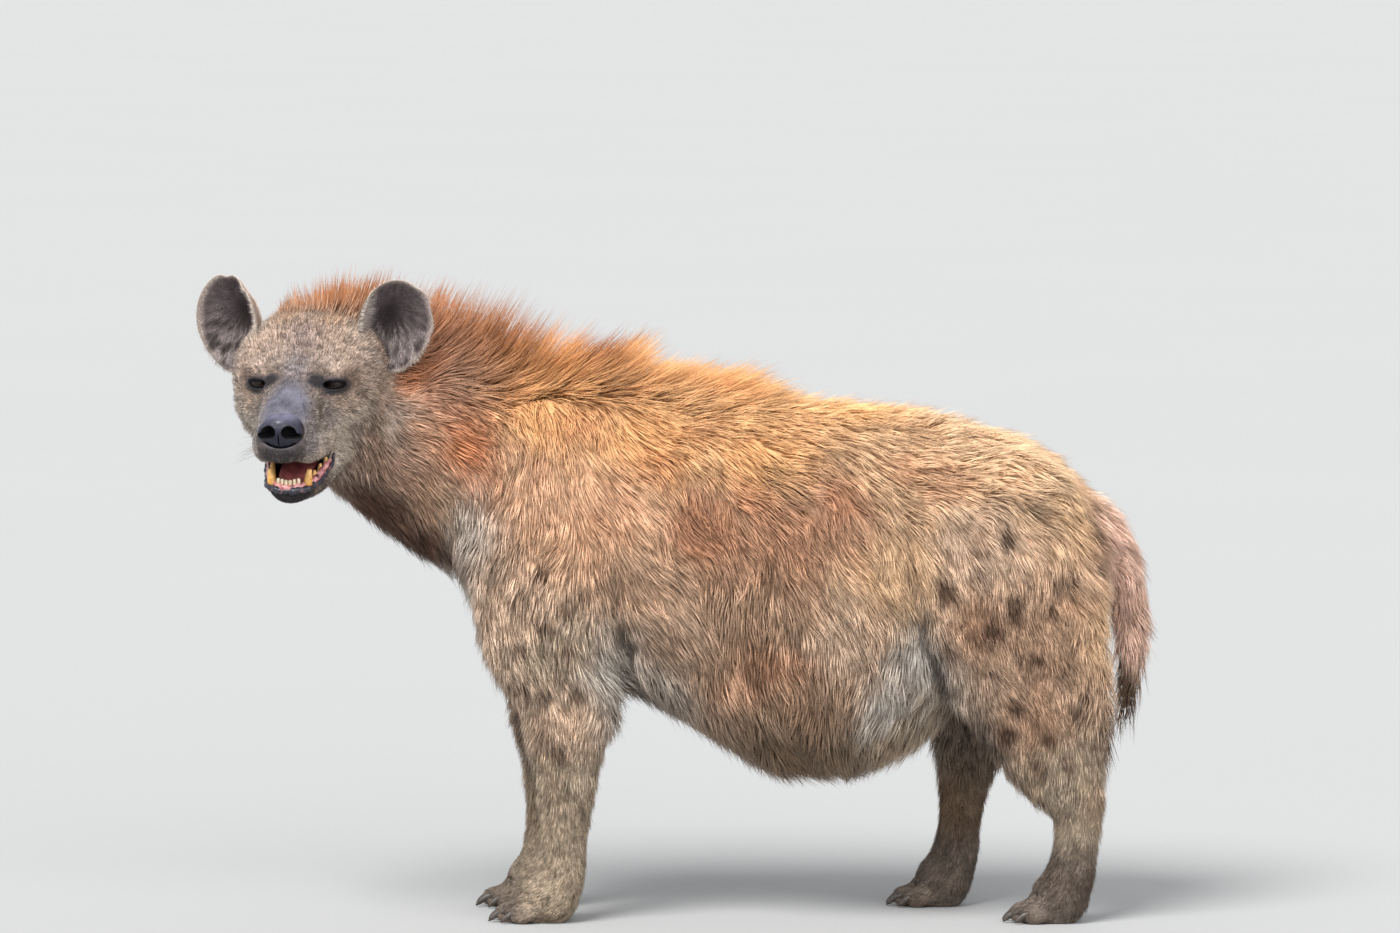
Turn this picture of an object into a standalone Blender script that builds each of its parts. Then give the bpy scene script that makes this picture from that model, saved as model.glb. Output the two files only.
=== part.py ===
"""A spotted hyena, standing with its head turned to its left: a still, life-size model.

Metres, +Z up. The rump is at +X and the left flank faces -Y. The soles stand on Z = 0.
The body is modelled whole from tubes and rounded masses, blended by a voxel remesh, and parted with thin cuts.
"""

import math

import bmesh
import bpy
import numpy as np
from mathutils import Matrix, Vector
from mathutils.bvhtree import BVHTree

# ---- driving sizes ----
GAP = 0.0003  # kept between two solids that touch
BODY_VOXEL = 0.0055
HEAD_VOXEL = 0.003
BODY_TRIANGLES = 3900
HEAD_TRIANGLES = 3000
SEED = 7
SHARP_ANGLE = math.radians(45)
COAT_ROUGHNESS = 0.8
EYE_ROUGHNESS = 0.2

EYES_AT = np.array([-0.565, -0.190, 0.779])  # midway between the eyeballs
HEAD_YAW = math.radians(10.5)  # from -Y towards -X
HEAD_PITCH = math.radians(4.0)  # nose down
EYE_RADIUS = 0.0145
EYE_SPREAD = 0.0545  # from the middle plane of the head to each eyeball

FORELEG_Y = 0.086
HINDLEG_Y = 0.092
TOE_IN = 0.006  # each paw stands this much nearer the middle plane than its leg's top

# ---- station tables, through the tips of the short coat ----
# x, top, widest level, bottom, half width
TORSO = [
    (-0.325, 0.640, 0.550, 0.455, 0.075),
    (-0.280, 0.745, 0.560, 0.410, 0.112),
    (-0.220, 0.785, 0.560, 0.370, 0.130),
    (-0.150, 0.792, 0.550, 0.338, 0.140),
    (-0.080, 0.780, 0.530, 0.308, 0.152),
    (0.000, 0.764, 0.500, 0.266, 0.172),
    (0.090, 0.752, 0.460, 0.210, 0.190),
    (0.170, 0.745, 0.450, 0.200, 0.192),
    (0.250, 0.738, 0.460, 0.212, 0.178),
    (0.320, 0.729, 0.490, 0.248, 0.155),
    (0.390, 0.713, 0.515, 0.315, 0.140),
    (0.460, 0.688, 0.525, 0.375, 0.128),
    (0.520, 0.652, 0.525, 0.400, 0.108),
    (0.565, 0.603, 0.520, 0.430, 0.074),
]
# x, y, z of the middle, half width, reach upwards, reach downwards
NECK = [
    (-0.180, 0.000, 0.600, 0.115, 0.160, 0.150),
    (-0.270, 0.000, 0.625, 0.112, 0.152, 0.160),
    (-0.360, -0.004, 0.668, 0.104, 0.140, 0.150),
    (-0.440, -0.016, 0.712, 0.100, 0.126, 0.134),
    (-0.505, -0.044, 0.745, 0.098, 0.112, 0.116),
    (-0.540, -0.085, 0.762, 0.094, 0.098, 0.104),
]
# x and z of the middle, half width, reach forwards, reach backwards; one table for each leg
FORELEG_NEAR = [
    (-0.225, 0.600, 0.052, 0.078, 0.080),
    (-0.245, 0.520, 0.056, 0.090, 0.090),
    (-0.225, 0.440, 0.056, 0.098, 0.100),
    (-0.200, 0.380, 0.053, 0.098, 0.098),
    (-0.186, 0.317, 0.048, 0.078, 0.080),
    (-0.190, 0.270, 0.043, 0.064, 0.066),
    (-0.190, 0.222, 0.038, 0.050, 0.050),
    (-0.191, 0.175, 0.036, 0.043, 0.043),
    (-0.195, 0.120, 0.032, 0.035, 0.036),
    (-0.200, 0.070, 0.036, 0.038, 0.038),
    (-0.212, 0.036, 0.042, 0.046, 0.042),
]
HINDLEG_NEAR = [
    (0.450, 0.600, 0.058, 0.110, 0.105),
    (0.440, 0.530, 0.064, 0.135, 0.140),
    (0.442, 0.460, 0.064, 0.142, 0.144),
    (0.456, 0.393, 0.060, 0.134, 0.138),
    (0.480, 0.331, 0.052, 0.114, 0.116),
    (0.496, 0.284, 0.045, 0.098, 0.100),
    (0.508, 0.240, 0.038, 0.084, 0.082),
    (0.524, 0.200, 0.034, 0.062, 0.060),
    (0.538, 0.165, 0.031, 0.044, 0.042),
    (0.536, 0.115, 0.028, 0.034, 0.034),
    (0.528, 0.070, 0.032, 0.036, 0.036),
    (0.515, 0.036, 0.038, 0.044, 0.040),
]
HINDLEG_FAR = [
    (0.450, 0.600, 0.058, 0.110, 0.105),
    (0.430, 0.530, 0.064, 0.130, 0.138),
    (0.415, 0.460, 0.064, 0.130, 0.140),
    (0.402, 0.393, 0.060, 0.115, 0.130),
    (0.394, 0.331, 0.052, 0.092, 0.110),
    (0.390, 0.284, 0.045, 0.074, 0.090),
    (0.384, 0.240, 0.038, 0.054, 0.068),
    (0.380, 0.200, 0.034, 0.042, 0.052),
    (0.378, 0.165, 0.031, 0.036, 0.040),
    (0.374, 0.115, 0.028, 0.032, 0.033),
    (0.366, 0.070, 0.032, 0.035, 0.036),
    (0.353, 0.036, 0.038, 0.043, 0.040),
]
FORELEG_FAR_STEP = -0.022  # the far foreleg stands this much further forwards
# x, z, half width, reach each way across the tail
TAIL = [
    (0.540, 0.590, 0.030, 0.030),
    (0.578, 0.555, 0.031, 0.030),
    (0.603, 0.505, 0.029, 0.028),
    (0.620, 0.440, 0.027, 0.027),
    (0.626, 0.370, 0.025, 0.026),
    (0.618, 0.305, 0.020, 0.021),
    (0.605, 0.258, 0.011, 0.012),
]

# Head tables: forwards of the eyes, height of the middle, half width, reach upwards, reach downwards
CRANIUM = [
    (-0.175, 0.000, 0.086, 0.070, 0.085),
    (-0.140, 0.000, 0.103, 0.084, 0.090),
    (-0.100, 0.000, 0.111, 0.089, 0.092),
    (-0.065, 0.000, 0.110, 0.083, 0.090),
    (-0.035, -0.002, 0.102, 0.070, 0.086),
    (-0.012, -0.008, 0.086, 0.054, 0.080),
    (0.012, -0.020, 0.058, 0.044, 0.072),
    (0.032, -0.029, 0.047, 0.042, 0.063),
    (0.056, -0.038, 0.044, 0.038, 0.056),
    (0.080, -0.047, 0.042, 0.035, 0.048),
    (0.102, -0.054, 0.039, 0.032, 0.041),
    (0.117, -0.058, 0.035, 0.029, 0.035),
]
JAW = [
    (-0.100, -0.070, 0.076, 0.045, 0.042),
    (-0.060, -0.086, 0.068, 0.040, 0.046),
    (-0.020, -0.106, 0.058, 0.030, 0.041),
    (0.020, -0.124, 0.049, 0.019, 0.034),
    (0.050, -0.136, 0.042, 0.013, 0.026),
    (0.072, -0.142, 0.037, 0.012, 0.020),
    (0.086, -0.144, 0.031, 0.011, 0.015),
]
JAW_SHIFT = 0.004  # to the hyena's left, as it pants

# The mane and the hair of the back: x, y of its roots, the height of its tips, how far it leans back
MANE = [
    (-0.536, -0.080, 0.904, 0.10),
    (-0.505, -0.048, 0.918, 0.25),
    (-0.460, -0.026, 0.904, 0.40),
    (-0.400, -0.010, 0.892, 0.50),
    (-0.330, -0.002, 0.882, 0.60),
    (-0.260, 0.000, 0.866, 0.75),
    (-0.190, 0.000, 0.848, 0.90),
    (-0.120, 0.000, 0.824, 1.15),
    (-0.050, 0.000, 0.806, 1.50),
    (0.020, 0.000, 0.786, 1.90),
    (0.100, 0.000, 0.776, 2.20),
]
# Rows of locks: from the middle line, first and last place along it, step, share of the height
MANE_ROWS = [
    (-0.018, 0.000, 0.64, 0.027, 1.0),
    (0.018, 0.012, 0.64, 0.027, 1.0),
    (-0.046, 0.170, 0.56, 0.038, 0.85),
    (0.049, 0.050, 0.56, 0.038, 0.85),
]
MANE_BREADTH = 1.4  # of a lock, in steps of its row
MANE_THICK = 0.022
LOCK_SUNK = 0.015
LOCK_KNEE = 0.40  # share of a lock's length before it bends over
LOCK_RINGS = ((0.0, 0.75), (0.3, 1.0), (0.6, 0.80), (0.85, 0.40))  # place along it, share of its breadth
TAIL_SLIM = ((0, 2, 6), (1.0, 0.62, 0.55))  # share of the table's size that is solid under the brush
TAIL_LOCKS = 16
TAIL_LOCK_SIZES = (0.105, 0.075, 0.026, 0.012)  # length above and near the tip, breadth, thickness
TAIL_LOCK_TURN = 2.4  # radians round the tail from one to the next

# The paws: place ahead of the leg's end and height, then half sizes
PAW_MASSES = [((0.012, 0.022), (0.046, 0.034, 0.030)), ((0.004, 0.004), (0.030, 0.028, 0.014))]
TOES = ((0.044, -0.028), (0.062, -0.0105), (0.062, 0.0105), (0.044, 0.028))  # ahead and across
TOE_HEIGHT = 0.013
TOE_HALF = (0.022, 0.0105, 0.0165)
TOE_SPLAY = math.radians(-9)
CLAW_AHEAD = 0.008  # of the middle of its toe
CLAW_HEIGHT = 0.0145
CLAW = (0.0048, 0.0018, 0.023)  # radius at the root and the tip, length

# Openings in the head: place, half sizes, and turn in degrees
MOUTH = ((0.040, 0.002, -0.113), (0.080, 0.036, 0.017), 9)
NOSTRIL = ((0.138, 0.0135, -0.047), (0.016, 0.0075, 0.0070), 14)
NOSTRIL_SLIT = ((0.132, 0.0210, -0.052), (0.014, 0.0070, 0.0030), 30)
LID_SLIT = ((0.014, 0.0575, -0.001), (0.017, 0.0145, 0.0062), -8)
# Teeth: radius at the root and the tip, and length
CANINE = (0.0066, 0.0030, 0.027)
CHEEK_TOOTH = (0.0062, 0.0032, 0.0145)
INCISOR = (0.0029, 0.0021, 0.0095)
TONGUE = [
    (-0.020, -0.112, 0.022, 0.006, 0.010),
    (0.010, -0.115, 0.024, 0.006, 0.010),
    (0.040, -0.123, 0.024, 0.006, 0.010),
    (0.068, -0.130, 0.019, 0.005, 0.007),
]


# ---- forms ----
def dense(rows, between):
    """The table read along a smooth curve through its rows, with this many steps between two rows."""
    rows = np.array(rows, float)
    ends = np.vstack([2 * rows[0] - rows[1], rows, 2 * rows[-1] - rows[-2]])
    out = []
    for i in range(1, len(ends) - 2):
        a, b, c, d = ends[i - 1 : i + 3]
        for t in np.arange(between) / between:
            out.append(
                0.5 * (2 * b + (c - a) * t + (2 * a - 5 * b + 4 * c - d) * t**2 + (3 * b - a - 3 * c + d) * t**3)
            )
    return np.array(out + [rows[-1]])


def unit(vectors):
    return vectors / np.maximum(np.linalg.norm(vectors, axis=-1, keepdims=True), 1e-9)


def tube(rows, reference, around=32, between=4, power=2.3, dome=1.0, square_to=None):
    """A closed tube with domed ends.

    A row is x, y, z, half width, and its reach towards reference and away from it.
    The sections stand square to the path, or all square to one direction.
    """
    rows = dense(rows, between)
    middle, wide, front, back = rows[:, :3], rows[:, 3], rows[:, 4], rows[:, 5]
    along = unit(np.gradient(middle, axis=0))
    if square_to is not None:
        along = np.tile(unit(np.array(square_to, float)), (len(rows), 1))
    side = unit(np.cross(along, reference))
    rise = np.cross(side, along)
    rings = []
    for end, way, angles in ((0, -1, (60, 30)), (-1, 1, (30, 60))):
        depth = dome * min(wide[end], front[end], back[end])
        for angle in map(math.radians, angles):
            k = math.cos(angle)
            at = middle[end] + way * along[end] * depth * math.sin(angle)
            rings.append((at, side[end], rise[end], wide[end] * k, front[end] * k, back[end] * k))
        if end == 0:
            rings += list(zip(middle, side, rise, wide, front, back))
    turn = np.linspace(0, 2 * math.pi, around, endpoint=False)
    c = np.sign(np.cos(turn)) * np.abs(np.cos(turn)) ** (2 / power)
    s = np.sign(np.sin(turn)) * np.abs(np.sin(turn)) ** (2 / power)
    points = [middle[0] - along[0] * dome * min(wide[0], front[0], back[0])]
    for at, sideways, up, w, f, b in rings:
        points += list(at + np.outer(c * w, sideways) + np.outer(s * np.where(s > 0, f, b), up))
    points.append(middle[-1] + along[-1] * dome * min(wide[-1], front[-1], back[-1]))
    return np.array(points), ring_faces(len(rings), around)


def ring_faces(count, around):
    """Faces over rings of points, with a single point before the first ring and another after the last."""
    first = [1 + i * around for i in range(count)]
    faces = []
    for j in range(around):
        k = (j + 1) % around
        faces.append((0, 1 + k, 1 + j))
        faces += [(a + j, a + k, b + k, b + j) for a, b in zip(first, first[1:])]
        faces.append((first[-1] + j, first[-1] + k, first[-1] + around))
    return faces


def mass(centre, radii, turn=None, around=20):
    """A rounded mass: an ellipsoid with these half sizes, turned by a rotation matrix."""
    angles = np.linspace(0, math.pi, around // 2 + 1)
    rings = [(math.cos(a), math.sin(a)) for a in angles[1:-1]]
    round_way = np.linspace(0, 2 * math.pi, around, endpoint=False)
    points = [(r * math.cos(t), r * math.sin(t), z) for z, r in rings for t in round_way]
    points = np.array([(0, 0, 1), *points, (0, 0, -1)]) * radii
    if turn is not None:
        points = points @ np.array(turn).T
    return points + np.array(centre), ring_faces(len(rings), around)


def head_axes():
    """Forwards, to the hyena's left, and up, for the head."""
    forwards = np.array(
        [
            -math.sin(HEAD_YAW) * math.cos(HEAD_PITCH),
            -math.cos(HEAD_YAW) * math.cos(HEAD_PITCH),
            -math.sin(HEAD_PITCH),
        ]
    )
    left = unit(np.cross((0, 0, 1), forwards))
    return forwards, left, np.cross(forwards, left)


FORWARDS, LEFT, UP = head_axes()
HEAD_FRAME = np.array([FORWARDS, LEFT, UP])


def head_point(forwards, left, up):
    """A point given from the eyes: forwards, to the left, and up."""
    return EYES_AT + np.array([forwards, left, up]) @ HEAD_FRAME


def head_tube(rows, **how):
    rows = [(*head_point(f, 0, h), wide, up, down) for f, h, wide, up, down in rows]
    return tube(rows, UP, square_to=FORWARDS, **how)


def head_mass(at, radii, pitch=0.0, yaw=0.0, around=20):
    """A mass in the head's own axes, turned nose down by pitch and to the left by yaw, in degrees."""
    turn = Matrix.Rotation(math.radians(yaw), 3, "Z") @ Matrix.Rotation(math.radians(pitch), 3, "Y")
    return mass(head_point(*at), radii, HEAD_FRAME.T @ np.array(turn), around)


def neck_form():
    return tube(NECK, (0, 0, 1), around=36)


def lock(root, out, lie, across, length, wide, thick):
    """A flat tapered lock: it leaves its sunk root along out and bends over towards lie, broad along across."""
    root, out, lie = np.array(root), unit(np.array(out, float)), unit(np.array(lie, float))
    start, knee = root - out * LOCK_SUNK, root + out * length * LOCK_KNEE
    tip = knee + lie * length * (1 - LOCK_KNEE)
    rings = []
    for t, share in LOCK_RINGS:
        at = start * (1 - t) ** 2 + knee * 2 * t * (1 - t) + tip * t**2
        along = unit((knee - start) * (1 - t) + (tip - knee) * t)
        broad = unit(across - along * (across @ along))
        thin = np.cross(along, broad)
        for side, half in ((broad, wide), (thin, thick), (-broad, wide), (-thin, thick)):
            rings.append(at + side * half * share / 2)
    return np.array([start, *rings, tip]), ring_faces(len(LOCK_RINGS), 4)


def mane_locks(surface, chance):
    """Rows of locks from the back of the head over the neck and the withers to the loins."""
    table = np.array(MANE)
    way = np.r_[0, np.cumsum(np.linalg.norm(np.diff(table[:, :2], axis=0), axis=1))]
    read = lambda at: [np.interp(at, way, column) for column in table.T]
    locks = []
    for aside, first, last, step, share in MANE_ROWS:
        for place in np.arange(first, last, step):
            at = place + step * chance.uniform(-0.2, 0.2)
            x, y, top, lean = read(at)
            along = unit(np.array([*read(at + 0.02)[:2], 0.0]) - np.array([*read(at - 0.001)[:2], 0.0]))
            sideways = np.array([-along[1], along[0], 0.0])
            above = np.array([x, y, 1.2]) + sideways * (aside + chance.uniform(-0.004, 0.004))
            root = np.array(surface.ray_cast(Vector(above), Vector((0, 0, -1)))[0])
            middle = surface.ray_cast(Vector((x, y, 1.2)), Vector((0, 0, -1)))[0].z
            height = (top + chance.uniform(-0.020, 0.006) - middle) * share
            fan = sideways * aside
            out = np.array([0, 0, 1.0]) + fan * 8 + along * lean * 0.35
            lie = np.array([0, 0, 1.0]) + fan * 6 + along * (lean * 1.3 + chance.uniform(-0.15, 0.35))
            length = height / (LOCK_KNEE * unit(out)[2] + (1 - LOCK_KNEE) * unit(lie)[2])
            locks.append(lock(root, out, lie, along, length, step * MANE_BREADTH, MANE_THICK))
    return locks


def tail_locks(chance):
    """The brush: locks in a spiral down the tail, hanging along it."""
    path = dense(TAIL, 6)
    way = np.linspace(0.22, 0.86, TAIL_LOCKS)
    upper, lower, broad, thick = TAIL_LOCK_SIZES
    locks = []
    for i, share in enumerate(way):
        at = int(share * (len(path) - 1))
        x, z, wide, reach = path[at]
        along = unit(np.array([path[at + 1][0] - x, 0, path[at + 1][1] - z]))
        turn = i * TAIL_LOCK_TURN
        out = math.cos(turn) * np.array([0, 1.0, 0]) + math.sin(turn) * np.cross(along, (0, 1.0, 0))
        root = np.array([x, 0, z]) + out * wide * 0.42
        length = upper if share < 0.6 else lower
        across = np.cross(along, out)
        locks.append(lock(root, out * 0.42 + along, along - out * 0.06, across, length, broad, thick))
    return locks


def skull_forms():
    """The head without its ears, eyes and mouth opening."""
    jaw_points, jaw_faces = head_tube(JAW, around=32, power=2.5, dome=0.8)
    forms = [head_tube(CRANIUM, around=40, power=2.4, dome=0.6), (jaw_points + LEFT * JAW_SHIFT, jaw_faces)]
    for side in (-1, 1):
        forms += [
            head_mass((-0.085, 0.066 * side, -0.042), (0.062, 0.041, 0.056)),  # jaw muscle and cheek
            head_mass((-0.036, 0.070 * side, -0.040), (0.052, 0.028, 0.030), yaw=-34 * side),  # cheekbone
            head_mass((-0.020, 0.054 * side, 0.024), (0.030, 0.034, 0.018), pitch=14),  # brow
            head_mass(eye_at(side), [EYE_RADIUS + 0.0048] * 3),  # lids
            head_mass((0.058, 0.034 * side, -0.076), (0.062, 0.020, 0.027), yaw=-15 * side),  # upper lip
        ]
    forms.append(head_mass((0.113, 0, -0.048), (0.024, 0.031, 0.025)))  # nose
    forms.append(head_mass((0.028, 0, -0.012), (0.062, 0.032, 0.024), pitch=17))  # bridge
    return forms


def leg_form(rows, side, spread, step=0.0):
    """A leg from its top to above the paw. The paw's own masses follow from where it ends."""
    inwards = np.linspace(0, TOE_IN, len(rows))
    return tube(
        [
            (x + step * min(1, i / 4), side * (spread - inwards[i]), z, wide, front, back)
            for i, (x, z, wide, front, back) in enumerate(rows)
        ],
        (-1, 0, 0),
        around=28,
    )


LEGS = {
    "foreleg_left": (FORELEG_NEAR, -1, FORELEG_Y, 0.0, 1.0),
    "foreleg_right": (FORELEG_NEAR, 1, FORELEG_Y, FORELEG_FAR_STEP, 1.0),
    "hindleg_left": (HINDLEG_NEAR, -1, HINDLEG_Y, 0.0, 0.92),
    "hindleg_right": (HINDLEG_FAR, 1, HINDLEG_Y, 0.0, 0.92),
}


def paws():
    """Where each leg ends, and its paw's size."""
    return [
        (rows[-1][0] + step, side * (spread - TOE_IN), size)
        for rows, side, spread, step, size in LEGS.values()
    ]


def paw_forms(x, y, size):
    """A paw with four toes and its pad, the sole a little below the floor, where it is cut flat."""
    sized = np.array([size, size, 1.0])
    forms = [mass((x - ahead, y, z), half * sized) for (ahead, z), half in PAW_MASSES]
    for toe, (ahead, across) in enumerate(TOES):
        splay = Matrix.Rotation(TOE_SPLAY * (toe - 1.5), 3, "Z")
        at = (x - ahead * size, y - across * size, TOE_HEIGHT)
        forms.append(mass(at, TOE_HALF * sized, splay))
    return forms


def body_forms():
    torso = [(x, 0, level, wide, top - level, level - bottom) for x, top, level, bottom, wide in TORSO]
    forms = [tube(torso, (0, 0, 1), around=40, power=2.25, dome=0.5, square_to=(1, 0, 0)), neck_form()]
    forms += [leg_form(rows, side, spread, step) for rows, side, spread, step, _ in LEGS.values()]
    for x, y, size in paws():
        forms += paw_forms(x, y, size)
    for side in (-1, 1):
        lean = Matrix.Rotation(math.radians(-14), 3, "Y")
        forms += [
            mass((-0.205, 0.088 * side, 0.610), (0.095, 0.050, 0.160), lean),  # shoulder blade
            mass((0.440, 0.088 * side, 0.580), (0.110, 0.056, 0.110)),  # haunch
        ]
    return forms


# ---- meshes ----
def make_object(name, points, faces):
    mesh = bpy.data.meshes.new(name)
    mesh.from_pydata([tuple(p) for p in points], [], [tuple(f) for f in faces])
    obj = bpy.data.objects.new(name, mesh)
    bpy.context.scene.collection.objects.link(obj)
    return obj


def face_out(obj):
    """Merges points that coincide and turns the faces outwards."""
    work = bmesh.new()
    work.from_mesh(obj.data)
    bmesh.ops.remove_doubles(work, verts=work.verts, dist=1e-6)
    bmesh.ops.recalc_face_normals(work, faces=work.faces)
    work.to_mesh(obj.data)
    work.free()


def join_forms(name, forms):
    points, faces, start = [], [], 0
    for form_points, form_faces in forms:
        points += list(form_points)
        faces += [tuple(i + start for i in face) for face in form_faces]
        start += len(form_points)
    obj = make_object(name, points, faces)
    face_out(obj)
    return obj


def apply_modifiers(obj):
    graph = bpy.context.evaluated_depsgraph_get()
    graph.update()
    mesh = bpy.data.meshes.new_from_object(obj.evaluated_get(graph))
    obj.modifiers.clear()
    obj.data = mesh


def remove(*objects):
    for obj in objects:
        bpy.data.objects.remove(obj)


def blend(name, forms, voxel):
    """One closed surface round all the forms."""
    obj = join_forms(name, forms)
    remesh = obj.modifiers.new("blend", "REMESH")
    remesh.mode = "VOXEL"
    remesh.voxel_size = voxel
    apply_modifiers(obj)
    return obj


def read_points(obj):
    co = np.empty(len(obj.data.vertices) * 3)
    obj.data.vertices.foreach_get("co", co)
    return co.reshape(-1, 3)


def write_points(obj, points):
    obj.data.vertices.foreach_set("co", points.ravel())
    obj.data.update()


def relax(obj, times, weight):
    """Evens out the surface, each point by its weight from 0 to 1."""
    points = read_points(obj)
    edges = np.empty(len(obj.data.edges) * 2, int)
    obj.data.edges.foreach_get("vertices", edges)
    a, b = edges.reshape(-1, 2).T
    count = np.bincount(np.r_[a, b], minlength=len(points))
    amount = weight(points)[:, None]
    for _ in range(times):
        total = np.stack([np.bincount(np.r_[a, b], points[np.r_[b, a], k], len(points)) for k in range(3)], 1)
        points = points + amount * 0.5 * (total / count[:, None] - points)
    write_points(obj, points)


def thin_out(obj, triangles):
    """Fewer triangles, with the most kept where the surface bends."""
    face_count = sum(len(p.vertices) - 2 for p in obj.data.polygons)
    collapse = obj.modifiers.new("fewer", "DECIMATE")
    collapse.ratio = triangles / face_count
    apply_modifiers(obj)


def boolean(obj, other, operation):
    cut = obj.modifiers.new(operation.lower(), "BOOLEAN")
    cut.operation = operation
    cut.object = other
    apply_modifiers(obj)


def copy_of(obj, name):
    other = bpy.data.objects.new(name, obj.data.copy())
    bpy.context.scene.collection.objects.link(other)
    return other


def keep_largest(obj):
    """Drops every closed surface of the object but the largest."""
    work = bmesh.new()
    work.from_mesh(obj.data)
    bmesh.ops.triangulate(work, faces=work.faces)
    seen, parts = set(), []
    for start in work.verts:
        if start.index in seen:
            continue
        part, queue = [], [start]
        seen.add(start.index)
        while queue:
            vert = queue.pop()
            part.append(vert)
            for edge in vert.link_edges:
                other = edge.other_vert(vert)
                if other.index not in seen:
                    seen.add(other.index)
                    queue.append(other)
        parts.append(part)
    parts.sort(key=len)
    bmesh.ops.delete(work, geom=[v for part in parts[:-1] for v in part], context="VERTS")
    work.to_mesh(obj.data)
    work.free()


def hull(name, corners):
    """A closed convex block round these corners."""
    work = bmesh.new()
    for corner in corners:
        work.verts.new(corner)
    bmesh.ops.convex_hull(work, input=work.verts)
    mesh = bpy.data.meshes.new(name)
    work.to_mesh(mesh)
    work.free()
    obj = bpy.data.objects.new(name, mesh)
    bpy.context.scene.collection.objects.link(obj)
    return obj


def half_space(name, at, towards, reach=1.5):
    """A block that fills everything on one side of a plane."""
    axis = Vector(towards).normalized()
    turn = axis.to_track_quat("Z", "Y").to_matrix()
    both = (-reach, reach)
    return hull(name, [Vector(at) + turn @ Vector((x, y, z)) for x in both for y in both for z in (0, reach)])


def grown(obj, name, by):
    """A copy whose surface stands further out."""
    other = copy_of(obj, name)
    normals = np.empty(len(other.data.vertices) * 3)
    other.data.vertices.foreach_get("normal", normals)
    write_points(other, read_points(other) + by * normals.reshape(-1, 3))
    return other


def seat(piece, host):
    """Cuts the piece back to where it meets its host, less the gap."""
    cutter = grown(host, "seat_cutter", GAP * 1.5)
    boolean(piece, cutter, "DIFFERENCE")
    remove(cutter)
    keep_largest(piece)


# ---- nodes ----
# The space of a leg: its front above and at the toes, its back, its top by the keel and its top outside
LEG_SPACES = {"fore": (-0.50, -0.50, -0.098, 0.325, 0.500), "hind": (0.322, 0.235, 0.80, 0.375, 0.640)}
LEG_FROM_KEEL = 0.030
LEG_OUTER = 0.30


def leg_block(name, leg, side, spare):
    """The block of space that one leg fills: outwards of the keel and below a slanted plane."""
    ahead, toes, behind, low, high = LEG_SPACES[leg[:4]]
    inner, outer = side * (LEG_FROM_KEEL - spare), side * LEG_OUTER
    corners = []
    for upper, lower in ((ahead - spare, toes - spare), (behind + spare, behind + spare)):
        corners += [(lower, inner, -0.05), (lower, outer, -0.05)]
        corners += [(upper, outer, high + spare), (upper, inner, low + spare)]
    return hull(name, corners)


CREST_END = -0.40
NECK_CUT_AT = (-0.303, 0, 0.65)
NECK_CUT_WAY = (-0.964, 0, 0.267)
HEAD_CUT_AT = head_point(-0.155, 0.0, 0.0)
HEAD_CUT_WAY = unit(FORWARDS * 0.75 + unit(np.array([-0.62, -0.45, 0.35])) * 0.65)


def flat_soles(obj):
    """Cuts the object flat at the floor."""
    work = bmesh.new()
    work.from_mesh(obj.data)
    geometry = work.verts[:] + work.edges[:] + work.faces[:]
    cut = bmesh.ops.bisect_plane(work, geom=geometry, plane_co=(0, 0, 0), plane_no=(0, 0, -1), clear_outer=True)
    edges = [e for e in cut["geom_cut"] if isinstance(e, bmesh.types.BMEdge)]
    bmesh.ops.holes_fill(work, edges=edges, sides=0)
    bmesh.ops.triangulate(work, faces=work.faces)
    bmesh.ops.recalc_face_normals(work, faces=work.faces)
    work.to_mesh(obj.data)
    work.free()


def claw_forms():
    forms = []
    for x, y, size in paws():
        for ahead, across in TOES:
            root = (x - (ahead + CLAW_AHEAD) * size, y - across * size, CLAW_HEIGHT)
            forms.append(peg(root, (-1, -across * 4, -0.42), *CLAW))
    return forms


def build_body(chance):
    """The whole body with its hair and claws, and the locks that its head shares."""
    body = blend("body", body_forms() + skull_forms(), BODY_VOXEL)
    relax(body, 14, lambda p: np.clip((p[:, 2] - 0.06) / 0.10, 0.12, 1.0))
    relax(body, 50, lambda p: np.clip((p[:, 2] - 0.30) / 0.15, 0.0, 1.0))
    thin_out(body, BODY_TRIANGLES)
    flat_soles(body)
    surface = BVHTree.FromPolygons([v.co for v in body.data.vertices], [p.vertices for p in body.data.polygons])
    mane = mane_locks(surface, chance)
    union(body, mane + claw_forms())
    crest = [piece for piece in mane if piece[0][0][0] < CREST_END]
    return body, crest


def part_body(body):
    nodes = {}
    shift = np.array(NECK_CUT_WAY) * GAP
    neck = copy_of(body, "neck")
    ahead = half_space("cutter", np.array(NECK_CUT_AT) + shift, NECK_CUT_WAY)
    boolean(neck, ahead, "INTERSECT")
    remove(ahead)
    head_side = half_space("cutter", HEAD_CUT_AT - HEAD_CUT_WAY * GAP, HEAD_CUT_WAY)
    boolean(neck, head_side, "DIFFERENCE")
    remove(head_side)
    keep_largest(neck)
    nodes["neck"] = neck
    torso = body
    torso.name = "torso"
    behind = half_space("cutter", NECK_CUT_AT, NECK_CUT_WAY)
    boolean(torso, behind, "DIFFERENCE")
    remove(behind)
    for name, (_, side, *_) in LEGS.items():
        leg = copy_of(torso, name)
        block = leg_block("cutter", name, side, 0.0)
        boolean(leg, block, "INTERSECT")
        remove(block)
        keep_largest(leg)
        nodes[name] = leg
    for name, (_, side, *_) in LEGS.items():
        block = leg_block("cutter", name, side, GAP)
        boolean(torso, block, "DIFFERENCE")
        remove(block)
    keep_largest(torso)
    nodes["torso"] = torso
    return nodes


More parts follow.
